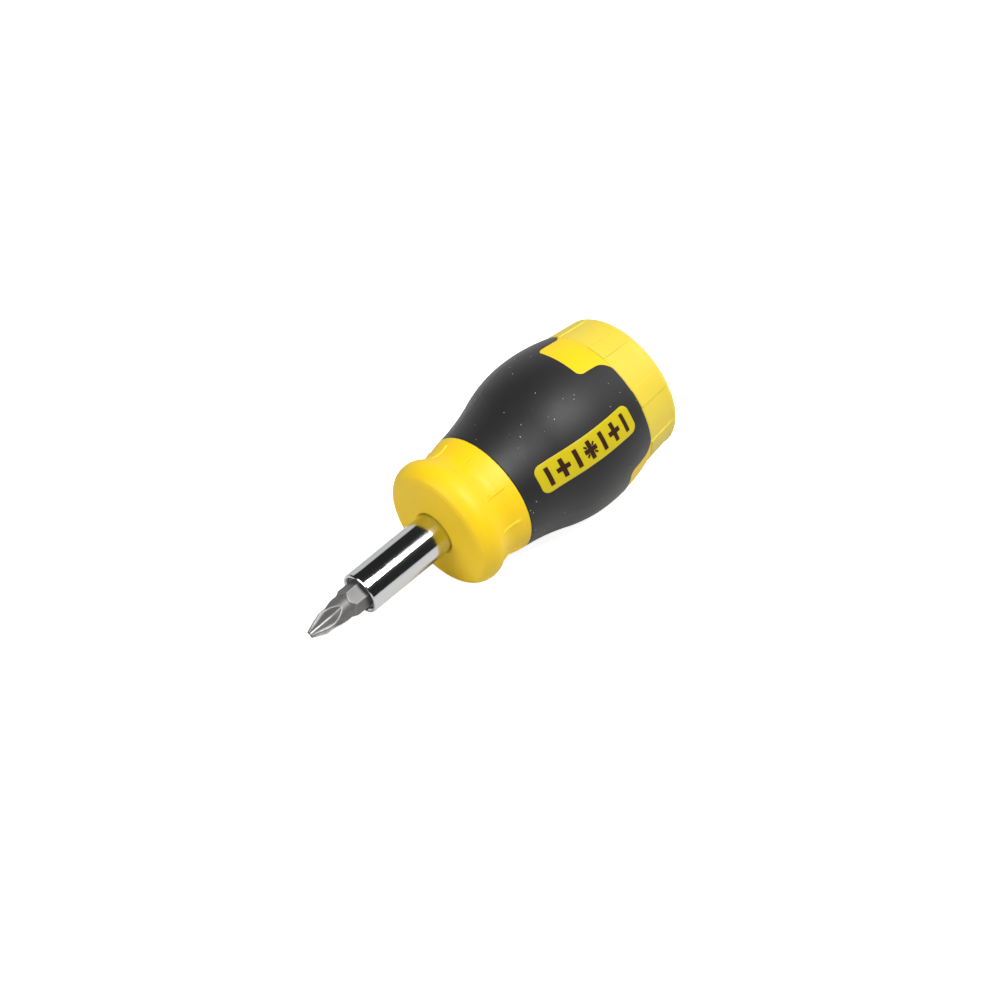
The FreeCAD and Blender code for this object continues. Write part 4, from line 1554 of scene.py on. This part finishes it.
    @staticmethod
    def with_ribs(shape: BitShape, station: Array, off: Array, radius: Array) -> Array:
        """Thin rib in the bottom of each flute, faded out behind the point."""
        reach = shape.root(station) + shape.rib_rise * (1 - smooth_step(station, *shape.rib_end))
        across = radius * np.abs(np.sin(off))
        ridge = 1 - smooth_step(across, *shape.rib_side)
        rib = np.minimum(reach, shape.envelope(station))
        return np.maximum(radius, radius + (rib - radius) * ridge)

    def make(
        self, shape: BitShape, tip_station: float, off_axis: float, turn_deg: float, stored: bool
    ) -> None:
        """Make one bit.

        Args:
            shape: Its sizes.
            tip_station: Station of its point in the tool.
            off_axis: Distance of its own axis from the tool's.
            turn_deg: Direction of its axis, or of a flute for the fitted bit.
            stored: Whether its point faces the cap.
        """
        along = self.stations(shape)[:, None]
        turn, radius, worn_and_highlit = self.section(shape, along)
        tip = np.zeros_like(radius[:1])
        end = along[-1:] + self.end_cut
        station = np.concatenate([along[:1], along, end, end])
        radius = np.concatenate([tip, radius, radius[-1:] - 0.08, tip])
        turn = np.concatenate([turn[:1], turn, turn[-1:], turn[-1:]])
        worn_and_highlit = np.concatenate([worn_and_highlit[:1], worn_and_highlit, worn_and_highlit[-1:], worn_and_highlit[-1:]])
        angle = np.radians(turn + turn_deg)
        if stored:
            own = angle - math.radians(HEX_TURN)
            up = off_axis * math.cos(math.radians(turn_deg)) + radius * np.cos(own)
            side = off_axis * math.sin(math.radians(turn_deg)) + radius * np.sin(own)
            place = AXIS.place(tip_station - station, np.hypot(up, side), np.arctan2(side, up))
        else:
            place = AXIS.place(tip_station + station, radius, angle)
        bit = closed_rings(shape.name, place, True, crease_deg=38.0)
        # Edge mask for the finish: bare-metal wear and painted highlight.
        paint_attribute(bit, "edge", np.concatenate([[0.0], worn_and_highlit[1:-1].ravel(), [0.0]]))
        self.place(bit, shape.body, "bit_steel", "bit_steel", shape.node)


def dress_hidden_nodes(finishes: Finishes) -> None:
    """Finish the frame's own inner pieces."""
    for node, finish in (
        ("bit_carrier", "carrier_plastic"),
        ("cap_seal", "seal_rubber"),
        ("socket_magnet", "magnet_nickel"),
        ("bit_retaining_ring", "spring_steel"),
    ):
        finishes.dress(frame["nodes"][node], finish)
        LOG.info("%s: frame node with finish %s", node, finish)


# ---------------------------------------------------------------- floor, light and camera


@dataclass(frozen=True)
class SoftBox:
    """Area light: where it stands from the tool, its width and height, and its power."""

    name: str
    azimuth: float
    elevation: float
    distance: float
    size: Pair
    power: float


@dataclass(frozen=True)
class Studio:
    """White floor, soft lights and the camera."""

    azimuth: float = -45.92
    elevation: float = 40.99
    distance: float = 0.7032
    aim_right: float = 0.0427
    aim_up: float = 0.0302
    lens: float = 112.7
    floor_radius: float = 0.6
    floor_painted_falloff: Pair = (0.68, 0.15)
    floor_near: Pair = (0.05, 0.45)
    floor_glow: float = 0.93
    floor_fade: Pair = (0.6, 0.98)
    floor_drop: float = 0.00002
    floor_sides: int = 96
    sensor: float = 36.0
    dim_level: float = 0.025
    patch_level: float = 0.76
    patch_at: Pair = (-10.0, -5.0)
    patch_reach: Pair = (37.0, 32.0)
    soft_boxes: tuple[SoftBox, ...] = (
        SoftBox("key_light", 122.0, 66.0, 0.9, (0.36, 0.42), 9.0),
        SoftBox("fill_light", -125.0, 25.0, 0.9, (0.6, 0.6), 4.3),
        SoftBox("rear_light", 50.0, 22.0, 0.9, (0.5, 0.5), 2.6),
    )

    def directions(self) -> tuple[Vector, Vector, Vector]:
        """Camera's right, up and backward directions."""
        turn, tilt = math.radians(self.azimuth), math.radians(self.elevation)
        right = Vector((math.cos(turn), math.sin(turn), 0.0))
        away = math.cos(tilt)
        back = Vector((math.sin(turn) * away, -math.cos(turn) * away, math.sin(tilt)))
        return right, back.cross(right), back

    def build(self) -> None:
        """Make everything round the tool."""
        self.make_floor()
        self.make_world()
        self.make_lights()
        self.make_camera()

    def make_floor(self) -> None:
        """Round white floor that shows almost no shadow and pales into the background.

        Seen by the camera it adds its own light, more of it towards the rim. Seen in
        reflections it is a matt floor whose colour darkens away from the tool, a painted
        fall-off of the light round the tool.
        """
        turn = round_angles(self.floor_sides)
        rim = self.floor_radius * np.stack([np.cos(turn), np.sin(turn), np.zeros_like(turn)], -1)
        floor = new_piece("studio_floor", rim - [0, 0, self.floor_drop], [list(range(len(turn)))])
        material = bpy.data.materials.new("floor_white")
        material.use_nodes = True
        tree = material.node_tree
        shader = tree.nodes["Principled BSDF"]
        shader.inputs["Roughness"].default_value = 0.8
        shader.inputs["Specular IOR Level"].default_value = 0.1
        centre = tree.nodes.new("ShaderNodeTexCoord").outputs["Object"]
        length = tree.nodes.new("ShaderNodeVectorMath")
        length.operation = "LENGTH"
        tree.links.new(centre, length.inputs[0])
        edge = tuple(share * self.floor_radius for share in self.floor_fade)
        fade = map_range(tree, length.outputs["Value"], edge, (0.0, 1.0))
        path = tree.nodes.new("ShaderNodeLightPath").outputs["Is Camera Ray"]
        glow = map_range(tree, fade, (0.0, 1.0), (self.floor_glow, 1.0))
        seen = maths(tree, "MULTIPLY", glow, path)
        # Base colour darkens away from the tool: painted fall-off of the light on the floor.
        pale = map_range(tree, length.outputs["Value"], self.floor_near, self.floor_painted_falloff)
        tree.links.new(pale, shader.inputs["Base Color"])
        tree.links.new(seen, shader.inputs["Emission Strength"])
        shader.inputs["Emission Color"].default_value = WHITE
        floor.data.materials.append(material)

    def towards(self, azimuth_deg: float, elevation_deg: float) -> Vector:
        """Direction from the tool, by azimuth clockwise from straight behind it and elevation."""
        right, _, back = self.directions()
        behind = Vector((-back.x, -back.y, 0.0)).normalized()
        turn, tilt = math.radians(azimuth_deg), math.radians(elevation_deg)
        level = right * math.sin(turn) + behind * math.cos(turn)
        return level * math.cos(tilt) + Vector((0.0, 0.0, math.sin(tilt)))

    def make_world(self) -> None:
        """Dim surroundings with one soft pale patch low behind the tool; white to the camera."""
        world = bpy.data.worlds.new("studio_world")
        bpy.context.scene.world = world
        world.use_nodes = True
        tree = world.node_tree
        dim = tree.nodes["Background"]
        facing = tree.nodes.new("ShaderNodeVectorMath")
        facing.operation = "DOT_PRODUCT"
        facing.inputs[1].default_value = self.towards(*self.patch_at)
        direction = tree.nodes.new("ShaderNodeTexCoord").outputs["Generated"]
        tree.links.new(direction, facing.inputs[0])
        edges = tuple(math.cos(math.radians(reach)) for reach in self.patch_reach)
        level = map_range(tree, facing.outputs["Value"], edges, (self.dim_level, self.patch_level))
        tree.links.new(level, dim.inputs["Strength"])
        dim.inputs["Color"].default_value = WHITE
        white = tree.nodes.new("ShaderNodeBackground")
        white.inputs["Color"].default_value = WHITE
        mix = tree.nodes.new("ShaderNodeMixShader")
        seen = tree.nodes.new("ShaderNodeLightPath").outputs["Is Camera Ray"]
        tree.links.new(seen, mix.inputs["Fac"])
        tree.links.new(dim.outputs["Background"], mix.inputs[1])
        tree.links.new(white.outputs["Background"], mix.inputs[2])
        tree.links.new(mix.outputs["Shader"], tree.nodes["World Output"].inputs["Surface"])

    def make_lights(self) -> None:
        """Soft boxes, each aimed at the tool."""
        middle = Vector(((CAD_BOX[0][0] + CAD_BOX[1][0]) / 2, 0.0, 0.02))
        for box in self.soft_boxes:
            lamp = bpy.data.lights.new(box.name, "AREA")
            lamp.shape = "RECTANGLE"
            lamp.size, lamp.size_y = box.size
            lamp.energy = box.power
            item = bpy.data.objects.new(box.name, lamp)
            bpy.context.scene.collection.objects.link(item)
            item.location = middle + self.towards(box.azimuth, box.elevation) * box.distance
            item.rotation_euler = (middle - item.location).to_track_quat("-Z", "Y").to_euler()

    def make_camera(self) -> None:
        """Camera at the given direction, aimed beside the point of the fitted bit."""
        right, up, back = self.directions()
        aim = Vector(AXIS.tip) + right * self.aim_right + up * self.aim_up
        lens = bpy.data.cameras.new("studio_camera")
        lens.lens = self.lens
        lens.sensor_width = self.sensor
        camera = bpy.data.objects.new("studio_camera", lens)
        bpy.context.scene.collection.objects.link(camera)
        rotation = Matrix((right, up, back)).transposed().to_4x4()
        camera.matrix_world = Matrix.Translation(aim + back * self.distance) @ rotation
        bpy.context.scene.camera = camera


def main() -> None:
    """Build the tool and its surroundings in order."""
    logging.basicConfig(level=logging.INFO, format="%(name)s %(message)s")
    finishes = Finishes()
    for assembly in (HandleCore, SoftGrip, Badge, EndCap, Holder, Bits):
        assembly(finishes).build()
    dress_hidden_nodes(finishes)
    Studio().build()
    bpy.context.scene.view_settings.view_transform = "Standard"


if __name__ == "__main__":
    main()
